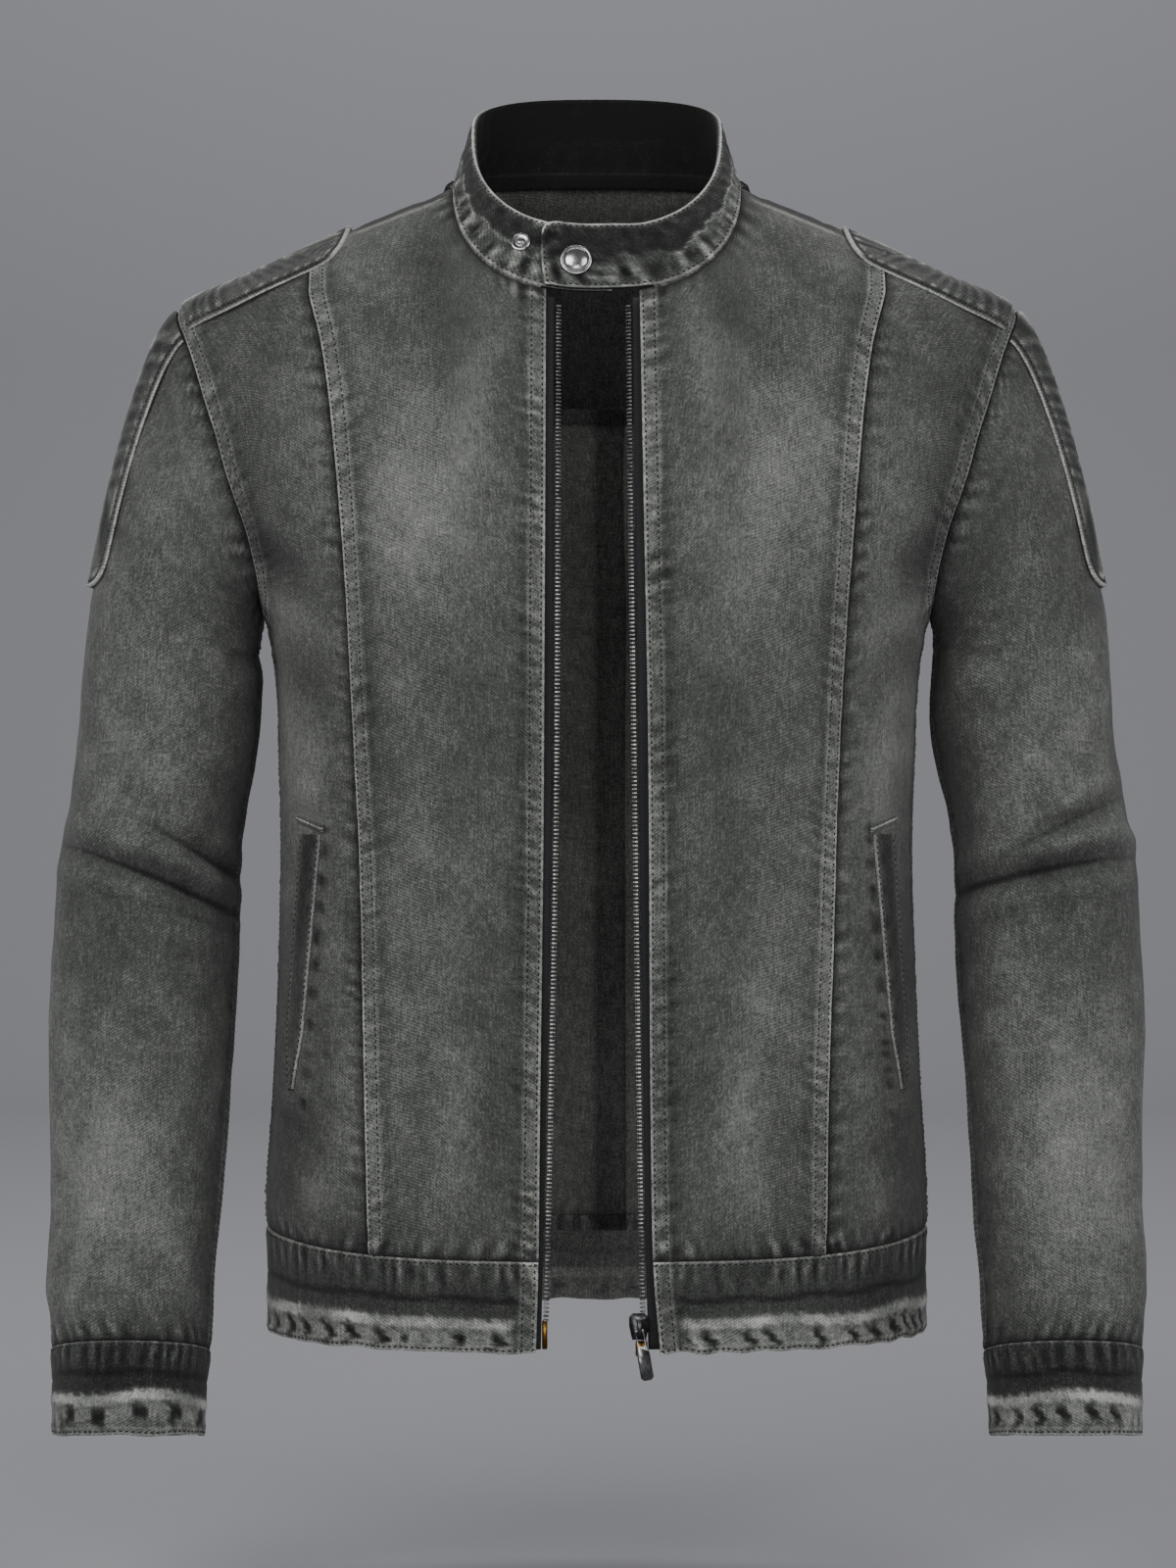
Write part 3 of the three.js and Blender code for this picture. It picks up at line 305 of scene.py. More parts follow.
def steps(length, fine="both", tongues="", pitch=PITCH):
    """Shares of a length: close together beside a sewn border, and a pitch apart between.

    A tongue is the seam allowance, which runs on past the border under the next piece."""
    low = EDGE_STEPS if fine in ("both", "start") else EDGE_STEPS[:1]
    high = length - (EDGE_STEPS if fine in ("both", "end") else EDGE_STEPS[:1])[::-1]
    count = max(2, round((high[0] - low[-1]) / pitch))
    return np.concatenate([
        -TONGUE_STEPS[::-1] if "start" in tongues else [], low,
        np.linspace(low[-1], high[0], count + 1)[1:-1], high,
        length + TONGUE_STEPS if "end" in tongues else []]) / length


def waver(seed, short, long, count=7):
    """A smooth random wave along a line, from about -1 to 1, made of a few sine waves."""
    draw = np.random.default_rng(seed)
    lengths, phases = draw.uniform(short, long, count), draw.uniform(0, 2 * math.pi, count)
    return lambda x: sum(np.sin(2 * math.pi * x / length + phase)
                         for length, phase in zip(lengths, phases)) / math.sqrt(count)


def rumple(seed, short, long, count=9, lean=0.0, swing=math.pi):
    """A smooth random field over a sheet, whose waves run within a swing of one direction."""
    draw = np.random.default_rng(seed)
    lengths, phases = draw.uniform(short, long, count), draw.uniform(0, 2 * math.pi, count)
    ways = lean + draw.uniform(-swing / 2, swing / 2, count)
    return lambda x, y: sum(
        np.sin(2 * math.pi * (x * math.cos(way) + y * math.sin(way)) / length + phase)
        for way, length, phase in zip(ways, lengths, phases)) / math.sqrt(count)


def bell(x, middle, width):
    return np.exp(-((x - middle) / width) ** 2)


def fall(x, start, end):
    """1 before start, 0 after end, and smooth between."""
    t = np.clip((x - start) / (end - start), 0, 1)
    return 1 - t * t * (3 - 2 * t)


class Sheet:
    """A piece of cloth as a grid of points, with its normals, relief and paleness.

    at gives points and normals for shares across and down. Shares outside 0 to 1 across, or
    outside ends down, are tongues. The grain runs straight down the middle column."""

    def __init__(self, at, columns, rows, side=1, wrap=False, ends=(0, 1)):
        self.s, self.t = np.meshgrid(columns, rows)
        self.points, self.out = at(self.s, self.t)
        self.wrap, self.side = wrap, side
        flip = np.array([side, 1, 1])
        self.points, self.out = self.points * flip, self.out * flip
        across = np.linalg.norm(np.diff(self.points, axis=1), axis=-1)
        down = np.linalg.norm(np.diff(self.points, axis=0), axis=-1)
        self.u = np.pad(np.cumsum(across, 1), ((0, 0), (1, 0)))
        self.v = -np.pad(np.cumsum(down, 0), ((1, 0), (0, 0)))
        middle, level = len(columns) // 2, len(rows) * 2 // 3
        drop = self.v[level] - self.v[level, middle]
        self.cut = np.stack([self.u - self.u[:, middle:middle + 1], self.v - drop], -1)
        self.height = np.zeros(self.s.shape)
        self.pale = np.zeros(self.s.shape)
        self.found = {}
        self.rows = slice(int((rows < ends[0]).sum()), int((rows <= ends[1]).sum()))
        self.columns = slice(int((columns < 0).sum()), len(columns) if wrap else int((columns <= 1).sum()))

    def border(self, edge):
        return {"left": (slice(None), self.columns.start), "right": (slice(None), self.columns.stop - 1),
                "top": (self.rows.start, slice(None)), "bottom": (self.rows.stop - 1, slice(None))}[edge]

    def beside(self, edge):
        """How far each point lies inside a border, and how far along the border that is."""
        if edge not in self.found:
            line = self.points[self.border(edge)]
            start, way = line[:-1], np.diff(line, axis=0)
            length = np.linalg.norm(way, axis=-1)
            before = np.concatenate([[0], np.cumsum(length)[:-1]])
            gap, along = np.empty(self.s.shape), np.empty(self.s.shape)
            for i, row in enumerate(self.points):
                from_start = row[:, None] - start
                share = np.clip((from_start * way).sum(-1) / np.maximum(length ** 2, 1e-14), 0, 1)
                away = np.linalg.norm(from_start - share[..., None] * way, axis=-1)
                nearest = away.argmin(1)
                pick = np.arange(len(row)), nearest
                gap[i] = away[pick]
                along[i] = before[nearest] + share[pick] * length[nearest]
            row, column = np.indices(self.s.shape)
            past = {"left": column < self.columns.start, "right": column >= self.columns.stop,
                    "top": row < self.rows.start, "bottom": row >= self.rows.stop}[edge]
            self.found[edge] = np.where(past, -gap, gap), along
        return self.found[edge]

    def raise_by(self, height, pale=0.0):
        self.height = self.height + height
        self.pale = self.pale + pale

    def surface(self):
        return self.points + self.out * self.height[..., None]

    def row_beside(self, edge, distance, keep_off=()):
        """Points and normals of a line that runs at a distance inside a border."""
        upright = edge in ("left", "right")
        grid, inwards = (self.rows, self.columns) if upright else (self.columns, self.rows)
        surface = self.surface()
        line = []
        for i in range(grid.start, grid.stop):
            pick = (i, inwards) if upright else (inwards, i)
            fields = [self.beside(edge)[0][pick], surface[pick], self.out[pick]]
            fields += [self.beside(other)[0][pick] for other, _ in keep_off]
            if edge in ("right", "bottom"):
                fields = [field[::-1] for field in fields]
            gaps, points, outs, *others = fields
            reach = int(np.argmax(gaps > distance))
            span = slice(0, reach + 1)
            if reach == 0 or any(np.interp(distance, gaps[span], other[span]) < margin
                                 for other, (_, margin) in zip(others, keep_off)):
                continue
            line.append([np.interp(distance, gaps[span], field[span, k])
                         for field in (points, outs) for k in range(3)])
        return np.array(line)


# Seams as they look after washing: the edge rubbed pale and puckers roped between the two rows of
# stitches. Beside the lapping edge and on the tongues under it the cloth is darkened with painted
# shadow. Distances in metres from the seam.
ROW_NEAR, ROW_FAR = 0.0018, 0.0078
ALLOWANCE_UNDER, ALLOWANCE_IN_BAND = 0.0018, 0.0004


def seam(sheet, edge, kind, seed, strength=1.0, tongue=0.0):
    """The relief and paleness along one border, and how deep its tongue lies."""
    inside, along = sheet.beside(edge)
    gap = np.maximum(inside, 0)
    pucker = np.tanh(1.7 * waver(seed, 0.006, 0.015)(along + 0.35 * gap))
    force = strength * (0.7 + 0.35 * waver(seed + 500, 0.04, 0.13)(along))
    streak = np.tanh(1.6 * waver(seed + 900, 0.003, 0.008)(along + 0.2 * gap))
    if kind == "lapped":
        rows = bell(gap, ROW_NEAR, 0.0008) + bell(gap, ROW_FAR, 0.0008)
        height = 0.0010 * fall(gap, 0.0085, 0.012) - 0.0003 * rows
        height += 0.00040 * pucker * force * bell(gap, 0.0048, 0.0026)
        height += 0.00045 * pucker * force * bell(gap, 0.0125, 0.0055)
        pale = 0.8 * bell(gap, 0, 0.0013) * (0.8 + 0.2 * streak) + 0.20 * rows
        pale += 0.3 * bell(gap, 0.0092, 0.0008)
        pale += (0.16 + 0.28 * pucker * force) * bell(gap, 0.0048, 0.0028)
        # A painted shadow band just outside the second row of stitches, with the outer puckers paler and darker.
        pale += (0.16 * pucker * force - 0.14) * bell(gap, 0.0115, 0.0045)
    elif kind == "tucked":
        height = -0.0005 * np.exp(-gap / 0.002)
        height += 0.00045 * pucker * force * bell(gap, 0.004, 0.007)
        # The tucked piece is darkened beside the seam: painted shadow of the lapping edge, with its puckers
        # paler.
        pale = -0.75 * np.exp(-gap / 0.0026) + 0.24 * pucker * force * bell(gap, 0.005, 0.006)
    else:
        row = bell(gap, ROW_NEAR, 0.0008)
        height = 0.0003 * bell(gap, 0.004, 0.003) - 0.0003 * row
        height += 0.00030 * pucker * force * bell(gap, 0.006, 0.006)
        pale = 0.65 * bell(gap, 0, 0.0012) + 0.15 * row
        pale += (0.08 + 0.25 * pucker * force) * bell(gap, 0.006, 0.0055)
    rim = 0.00045 * (1 - np.sqrt(1 - np.clip(1 - gap / 0.0007, 0, 1) ** 2))
    # Tongues that lie under the next piece are darkened: painted shade under it.
    sunk = fall(inside, -0.0008, 0)
    sheet.raise_by(height - rim * (inside >= 0) - tongue * sunk, pale - 0.5 * sunk)


def folds(sheet, rows):
    """Soft ridges and hollows, each from (x, z) to (x, z), with a width, depth and paleness: paler on the ridges
    and darker in the hollows, partly wash fade and partly painted shade.
    """
    x, z = np.abs(sheet.points[..., 0]), sheet.points[..., 2]
    for x0, z0, x1, z1, width, depth in rows:
        way = np.array([x1 - x0, z1 - z0]) / 1000
        share = ((x - x0 / 1000) * way[0] + (z - z0 / 1000) * way[1]) / (way @ way)
        near = np.clip(share, 0, 1)
        away = np.hypot(x - x0 / 1000 - near * way[0], z - z0 / 1000 - near * way[1])
        form = bell(away, 0, width / 1000) * np.sin(math.pi * np.clip(share, 0.04, 0.96)) ** 0.8
        sheet.raise_by(depth / 1000 * form, 0.12 * depth * form)


# Denim is a 3/1 twill: dark warp over pale weft gives a diagonal grain with long uneven
# warp yarns. Washing leaves it matte, and paler wherever it stood proud. A real twill line is
# 0.9 mm wide; it is drawn 1.5 mm wide so that it shows. Each piece's paleness attribute holds its
# wash fades and rubbed edges, and also painted shade and painted light.
TWILL_LINE = 0.0015
TWILL_TURN = math.radians(62)
YARN_WIDTH, YARN_SLUB = 0.0011, 0.012
DENIM_SHADES = ("#101110", "#272927", "#4b4d4a", "#7f817c", "#bdbeb8")


def denim(name, shades=DENIM_SHADES, tone=0.5):
    material, tree = new_material(name)
    cloth = add(tree, "ShaderNodeUVMap", uv_map="cloth").outputs["UV"]
    place = add(tree, "ShaderNodeTexCoord").outputs["Object"]
    fade_and_painted_light = add(tree, "ShaderNodeAttribute", attribute_name="fade_and_painted_light").outputs["Fac"]

    def pattern(source, scale, turn=0.0, detail=2.0):
        laid = add(tree, "ShaderNodeMapping", {
            "Vector": source, "Rotation": (0, 0, turn), "Scale": scale})
        noise = add(tree, "ShaderNodeTexNoise", {
            "Vector": laid.outputs["Vector"], "Scale": 1.0, "Detail": detail, "Roughness": 0.6})
        return noise.outputs["Fac"]

    laid = add(tree, "ShaderNodeMapping", {"Vector": cloth, "Rotation": (0, 0, TWILL_TURN)})
    twill = add(tree, "ShaderNodeTexWave", {
        "Vector": laid.outputs["Vector"], "Scale": math.pi / 10 / TWILL_LINE,
        "Distortion": 3.0, "Detail": 1.0, "Detail Scale": 0.6}, wave_type="BANDS").outputs["Fac"]
    warp = pattern(cloth, (1 / YARN_WIDTH, 1 / YARN_SLUB, 1))
    weft = pattern(cloth, (1 / YARN_SLUB, 1 / YARN_WIDTH, 1))
    grain = pattern(cloth, (1 / 0.0013, 1 / 0.0017, 1), detail=3.0)
    mottle = pattern(cloth, (1 / 0.0045, 1 / 0.0065, 1), detail=4.0)
    blotch = pattern(place, (38, 38, 22), detail=4.0)
    cloud = pattern(place, (9, 9, 6), detail=2.0)
    weights = [(twill, 0.10), (warp, 0.30), (weft, 0.12), (grain, 0.60), (mottle, 0.30),
               (blotch, 0.22), (cloud, 0.18)]
    total = add(tree, "ShaderNodeMath", {
        0: fade_and_painted_light, 1: 0.5, 2: tone - sum(weight for _, weight in weights) / 2},
        operation="MULTIPLY_ADD").outputs[0]
    for texture, weight in weights:
        total = add(tree, "ShaderNodeMath", {0: texture, 1: weight, 2: total},
                    operation="MULTIPLY_ADD").outputs[0]
    ramp = add(tree, "ShaderNodeValToRGB", {"Fac": total})
    elements = ramp.color_ramp.elements
    for position in (0.25, 0.5, 0.75):
        elements.new(position)
    for element, shade in zip(elements, shades):
        element.color = linear(shade)
    relief = add(tree, "ShaderNodeMath", {0: twill, 1: 0.35, 2: grain}, operation="MULTIPLY_ADD")
    relief = add(tree, "ShaderNodeMath", {0: warp, 1: 0.5, 2: relief.outputs[0]},
                 operation="MULTIPLY_ADD")
    bump = add(tree, "ShaderNodeBump", {
        "Strength": 0.55, "Distance": 0.0006, "Height": relief.outputs[0]})
    finish_material(tree, add(tree, "ShaderNodeBsdfPrincipled", {
        "Base Color": ramp.outputs["Color"], "Roughness": 0.93, "Specular IOR Level": 0.18,
        "Sheen Weight": 0.06, "Sheen Roughness": 0.6, "Normal": bump.outputs["Normal"]}))
    return material


# Core-spun polyester thread in a grey a shade darker than the cloth, with a dull lustre.
def thread(name, hex_colour):
    material, tree = new_material(name)
    place = add(tree, "ShaderNodeTexCoord").outputs["Object"]
    shade = add(tree, "ShaderNodeTexNoise", {"Vector": place, "Scale": 160.0, "Detail": 1.0})
    ramp = add(tree, "ShaderNodeValToRGB", {"Fac": shade.outputs["Fac"]})
    red, green, blue, _ = linear(hex_colour)
    ramp.color_ramp.elements[0].position = 0.3
    ramp.color_ramp.elements[0].color = (red * 0.5, green * 0.5, blue * 0.5, 1)
    ramp.color_ramp.elements[1].position = 0.7
    ramp.color_ramp.elements[1].color = (red, green, blue, 1)
    finish_material(tree, add(tree, "ShaderNodeBsdfPrincipled", {
        "Base Color": ramp.outputs["Color"], "Roughness": 0.6, "Specular IOR Level": 0.3}))
    return material


denim_cloth = denim("washed_charcoal_twill")
dark_denim_cloth = denim("doubled_charcoal_twill", tone=0.44)
grey_thread = thread("grey_topstitch_thread", "#252625")


def wall_mesh(name, sheet, thickness, inside_pale=0.5, inner_height=None):
    """A closed wall: the sheet's outer face, the same face one thickness in, and its rims."""
    rows, columns = sheet.s.shape
    outer = sheet.surface()
    if inner_height is None:
        inner_height = np.minimum(0.6 * sheet.height, sheet.height) - thickness
    inner = sheet.points + sheet.out * inner_height[..., None]
    index = np.arange(2 * rows * columns).reshape(2, rows, columns)
    if sheet.wrap:
        index = np.concatenate([index, index[:, :, :1]], 2)
    o, i = index

    def quads(a, b, c, d):
        return np.stack([x.ravel() for x in (a, b, c, d)], -1)
    faces = [quads(o[:-1, :-1], o[1:, :-1], o[1:, 1:], o[:-1, 1:]),
             quads(i[:-1, :-1], i[:-1, 1:], i[1:, 1:], i[1:, :-1]),
             quads(o[0, :-1], o[0, 1:], i[0, 1:], i[0, :-1]),
             quads(o[-1, :-1], i[-1, :-1], i[-1, 1:], o[-1, 1:])]
    if not sheet.wrap:
        faces += [quads(o[:-1, 0], i[:-1, 0], i[1:, 0], o[1:, 0]),
                  quads(o[:-1, -1], o[1:, -1], i[1:, -1], i[:-1, -1])]
    faces = np.concatenate(faces)
    points = np.concatenate([outer.reshape(-1, 3), inner.reshape(-1, 3)])
    a, b, c = (points[faces[:, k]] for k in (0, 1, 2))
    if (a * np.cross(b, c)).sum() < 0:
        faces = faces[:, ::-1]
    mesh = bpy.data.meshes.new(name)
    mesh.from_pydata(points.tolist(), [], faces.tolist())
    layer = mesh.uv_layers.new(name="cloth")
    flat = sheet.cut.reshape(-1, 2)
    if sheet.wrap:
        flat_seam = flat.reshape(rows, columns, 2)[:, -1]
        turn = np.linalg.norm(sheet.points[:, 0] - sheet.points[:, -1], axis=-1)
    flat = np.concatenate([flat, flat])
    corners = faces.ravel()
    uv = flat[corners]
    if sheet.wrap:
        column = (corners % (rows * columns)) % columns
        row = (corners % (rows * columns)) // columns
        crossing = np.repeat(np.any(column.reshape(-1, 4) == columns - 1, 1), 4) & (column == 0)
        uv[crossing, 0] = flat_seam[row[crossing], 0] + turn[row[crossing]]
    layer.data.foreach_set("uv", uv.ravel())
    fade_and_painted_light = mesh.attributes.new("fade_and_painted_light", "FLOAT", "POINT")
    # The inside's paleness: 0.5 by default for the paler back of the twill; the lower values given for the yoke,
    # collar and cuffs are painted shade inside the jacket.
    inside = np.full(sheet.pale.shape, inside_pale) + 0.3 * sheet.pale
    values = np.concatenate([sheet.pale.ravel(), inside.ravel()])
    fade_and_painted_light.data.foreach_set("value", values.astype(np.float32))
    mesh.shade_smooth()
    return mesh


def sew_on(nodes, sheet, material, slot_name, thickness=WALL, rests_on=(), cloth=True, **more):
    """Makes a piece from its sheet and puts it in the place of its CAD nodes."""
    nodes = [nodes] if isinstance(nodes, str) else nodes
    name = nodes[0] + "_sewn"
    piece = new_object(name, wall_mesh(name, sheet, thickness, **more), material)
    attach(piece, "jacket")
    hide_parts(*nodes)


# Stitching: short loops of thread at an even pitch, half sunk in the cloth. One node tree sets
# any small thing along lines, turned to the line and to the cloth's normal.
def tree_along_lines():
    tree = bpy.data.node_groups.new("set_along_lines", "GeometryNodeTree")
    for name, kind in (("Lines", "NodeSocketGeometry"), ("Thing", "NodeSocketObject"),
                       ("Pitch", "NodeSocketFloat"), ("Material", "NodeSocketMaterial")):
        tree.interface.new_socket(name, in_out="INPUT", socket_type=kind)
    tree.interface.new_socket("Things", in_out="OUTPUT", socket_type="NodeSocketGeometry")
    given = add(tree, "NodeGroupInput").outputs
    curves = add(tree, "GeometryNodeMeshToCurve", {"Mesh": given["Lines"]})
    spaced = add(tree, "GeometryNodeResampleCurve", {
        "Curve": curves.outputs[0], "Length": given["Pitch"]}, mode="LENGTH")
    out = add(tree, "GeometryNodeInputNamedAttribute", {"Name": "out"}, data_type="FLOAT_VECTOR")
    way = add(tree, "GeometryNodeInputTangent")
    along = add(tree, "FunctionNodeAlignRotationToVector", {"Vector": way.outputs[0]}, axis="X")
    turned = add(tree, "FunctionNodeAlignRotationToVector", {
        "Rotation": along.outputs[0], "Vector": out.outputs["Attribute"]}, axis="Z", pivot_axis="X")
    thing = add(tree, "GeometryNodeObjectInfo", {"Object": given["Thing"]})
    placed = add(tree, "GeometryNodeInstanceOnPoints", {
        "Points": spaced.outputs[0], "Instance": thing.outputs["Geometry"],
        "Rotation": turned.outputs[0]})
    real = add(tree, "GeometryNodeRealizeInstances", {"Geometry": placed.outputs[0]})
    coloured = add(tree, "GeometryNodeSetMaterial", {
        "Geometry": real.outputs[0], "Material": given["Material"]})
    tree.links.new(coloured.outputs[0], add(tree, "NodeGroupOutput").inputs[0])
    return tree


along_lines = tree_along_lines()


def set_along(name, lines, thing, pitch, material):
    """One mesh of copies of a thing, set along lines of points and normals."""
    lines = [line for line in lines if len(line) > 1]
    points = np.concatenate([line[:, :3] for line in lines])
    outs = np.concatenate([line[:, 3:] for line in lines])
    edges, first = [], 0
    for line in lines:
        edges += [(first + i, first + i + 1) for i in range(len(line) - 1)]
        first += len(line)
    path = bpy.data.meshes.new(name + "_lines")
    path.from_pydata(points.tolist(), edges, [])
    path.attributes.new("out", "FLOAT_VECTOR", "POINT").data.foreach_set("vector", outs.ravel())
    carrier = new_object(name + "_lines", path)
    modifier = carrier.modifiers.new("set", "NODES")
    modifier.node_group = along_lines
    sockets = {item.name: item.identifier for item in along_lines.interface.items_tree
               if item.in_out == "INPUT"}
    modifier[sockets["Thing"]] = thing
    modifier[sockets["Pitch"]] = pitch
    modifier[sockets["Material"]] = material
    bpy.context.view_layer.update()
    shown = carrier.evaluated_get(bpy.context.evaluated_depsgraph_get())
    mesh = bpy.data.meshes.new_from_object(shown)
    mesh.name = name
    mesh.shade_smooth()
    bpy.data.objects.remove(carrier)
    piece = new_object(name, mesh)
    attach(piece, "jacket")
    return piece


STITCH = {"length": 0.0021, "width": 0.0010, "height": 0.0008, "pitch": 0.0034}


def loop_of_thread():
    """One stitch: a spindle that dips into the cloth at both ends."""
    rings, sides = [(-0.5, 0.25, -0.6), (-0.32, 0.8, 0.0), (0, 1, 0.25), (0.32, 0.8, 0.0), (0.5, 0.25, -0.6)], 6
    points = [(x * STITCH["length"], 0.5 * STITCH["width"] * r * math.cos(2 * math.pi * k / sides),
               0.5 * STITCH["height"] * (r * math.sin(2 * math.pi * k / sides) + lift))
              for x, r, lift in rings for k in range(sides)]
    faces = [(6 * i + k, 6 * i + (k + 1) % 6, 6 * i + 6 + (k + 1) % 6, 6 * i + 6 + k)
             for i in range(len(rings) - 1) for k in range(sides)]
    faces += [tuple(range(sides))[::-1], tuple(6 * (len(rings) - 1) + k for k in range(sides))]
    mesh = bpy.data.meshes.new("stitch")
    mesh.from_pydata(points, [], faces)
    bm = bmesh.new()
    bm.from_mesh(mesh)
    bmesh.ops.recalc_face_normals(bm, faces=bm.faces)
    bm.to_mesh(mesh)
    bm.free()
    return new_object("stitch", mesh)


stitch = loop_of_thread()


def stitch_rows(name, rows):
    return set_along(name, rows, stitch, STITCH["pitch"], grey_thread)


FRONT_FOLDS = [
    # x, z to x, z, width and depth in millimetres
    (44, -90, 52, -190, 7, -1.0), (56, -86, 70, -160, 8, 0.9), (70, -80, 96, -130, 9, -0.7),
    (36, -84, 38, -130, 5, 0.8), (125, -120, 80, -260, 26, 1.6), (60, -240, 100, -420, 30, -1.4),
    (108, -300, 96, -520, 24, 1.3), (46, -420, 60, -590, 18, -0.9), (84, -480, 74, -596, 16, 1.2),
]
SIDE_FOLDS = [
    (214, -190, 160, -236, 13, -1.8), (206, -214, 158, -262, 11, 1.7), (186, -262, 140, -300, 12, -1.2),
    (178, -300, 150, -372, 15, 1.4), (150, -560, 178, -520, 12, -1.1), (160, -592, 150, -545, 9, 1.0),
]
# Paler and darker patches on the fronts: x, z, half width, half height and how much paler.
# The patch at x 165 on the side panel is painted light, where the side turns away from the lamps;
# the other pale ones are wash fades, and the negative ones make the cloth darker.
FADES_AND_PAINTED_LIGHT = [
    (78, -150, 38, 62, 0.14), (74, -300, 34, 90, 0.12), (88, -470, 36, 80, 0.04),
    (165, -300, 24, 110, 0.26), (60, -210, 26, 30, 0.05), (206, -120, 22, 40, -0.06),
    (176, -440, 14, 100, -0.06), (178, -560, 16, 50, -0.10), (36, -330, 8, 260, -0.08),
    (120, -590, 60, 16, -0.10),
]


def weathered_and_shaded(sheet, still, tone_patches=FADES_AND_PAINTED_LIGHT):
    """Broad slow waves, the same for all of the body and still at some borders, paler where they rise and darker
    where they sink, partly wash fade and partly painted shade; then the table's patches of fade, painted light
    and darker cloth.
    """
    x, z = sheet.points[..., 0], sheet.points[..., 2]
    drape = rumple(51, 0.07, 0.16, lean=0.15, swing=1.2)(x, z)
    crumple = rumple(52, 0.02, 0.045)(x, z)
    calm = 1.0
    for edge in still:
        calm = calm * (1 - fall(sheet.beside(edge)[0], 0, 0.02))
    sheet.raise_by((0.0010 * drape + 0.00018 * crumple) * calm, 0.035 * drape + 0.035 * crumple)
    for x0, z0, width, height, amount in tone_patches:
        sheet.raise_by(0, amount * bell(np.abs(x), x0 / 1000, width / 1000)
                       * bell(z, z0 / 1000, height / 1000))


def beside_welt(sheet, seed):
    """Keeps the cloth level under a pocket's welt, with a painted shadow along its inner edge, broken up by
    puckers.
    """
    x, z = np.abs(sheet.points[..., 0]), sheet.points[..., 2]
    down = (WELT_TOP - z) / (WELT_TOP - WELT_BOTTOM)
    inwards = lerp(*WELT_X, down) - x
    reach = fall(np.abs(down - 0.5), 0.56, 0.64)
    sheet.height *= 1 - fall(np.abs(inwards), 0.009, 0.018) * reach
    # Painted shadow beside the welt's edge, in uneven pucker-shaped patches.
    pucker = np.maximum(np.tanh(1.8 * waver(seed, 0.007, 0.018)(z)), 0)
    sheet.raise_by(0, -0.75 * pucker * bell(inwards, 0.0080, 0.0022) * reach)


def edge_turn(side):
    return math.acos((OPENING[side]["edge"][0] / NECK_SIDE) ** (1 / NECK_POWER))


def inset(shares, size):
    """Shares with the seam's play taken off both ends, and tongues left as they are."""
    within = np.clip(shares, SEAM_PLAY / size, 1 - SEAM_PLAY / size)
    return np.where((shares < 0) | (shares > 1), shares, within)


def as_seen(line):
    angle, z = line
    return body_point(angle, z)[..., 0], z


def front_lines(side):
    top_turn = edge_turn(side)
    edge_top = neckline(np.array(top_turn), FRONT)[1]
    edge_angle = lambda z: angle_at(edge_x[side](z), z, FRONT)
    edge_foot = band_top(edge_angle(BAND_MIDDLE))
    princess_foot = band_top(princess(np.array(BAND_MIDDLE))[0])
    foot_from, foot_to = edge_angle(edge_foot), princess(princess_foot)[0]

    def princess_line(t):
        return princess(seam_height(t, ARM_ROWS, PRINCESS_TOP, princess_foot))

    def foot(start, end):
        return lambda s: (lerp(start, end, s), band_top(lerp(start, end, s)))

    def edge_line(t):
        z = seam_height(t, ARM_ROWS, edge_top, edge_foot)
        return edge_x[side](z), z

    def top_line(s):
        neck_part = np.clip(1 - s / NECK_SHARE, 0, 1)
        neck = as_seen(neckline(top_turn * neck_part ** NECK_CROWDING, FRONT))
        ridge_z = lerp(0, PRINCESS_TOP, np.clip((s - NECK_SHARE) / (1 - NECK_SHARE), 0, 1))
        ridge = as_seen((0 * s, ridge_z))
        return tuple(np.where(s < NECK_SHARE, a, b) for a, b in zip(neck, ridge))

    seen = patch(edge_line, lambda t: as_seen(princess_line(t)), top_line,
                 lambda s: as_seen(foot(foot_from, foot_to)(s)))

    def centre(s, t):
        x, z = seen(s, t)
        return np.minimum(angle_at(x, z, FRONT), -OFF_RIDGE), z
    side_panel = patch(princess_line, lambda t: side_line(t, ARM_ROWS, 0, FRONT),
                       lambda s: (0 * s, lerp(PRINCESS_TOP, SHOULDER_TIP, s)), foot(foot_to, 0))
    return centre, side_panel, princess_foot


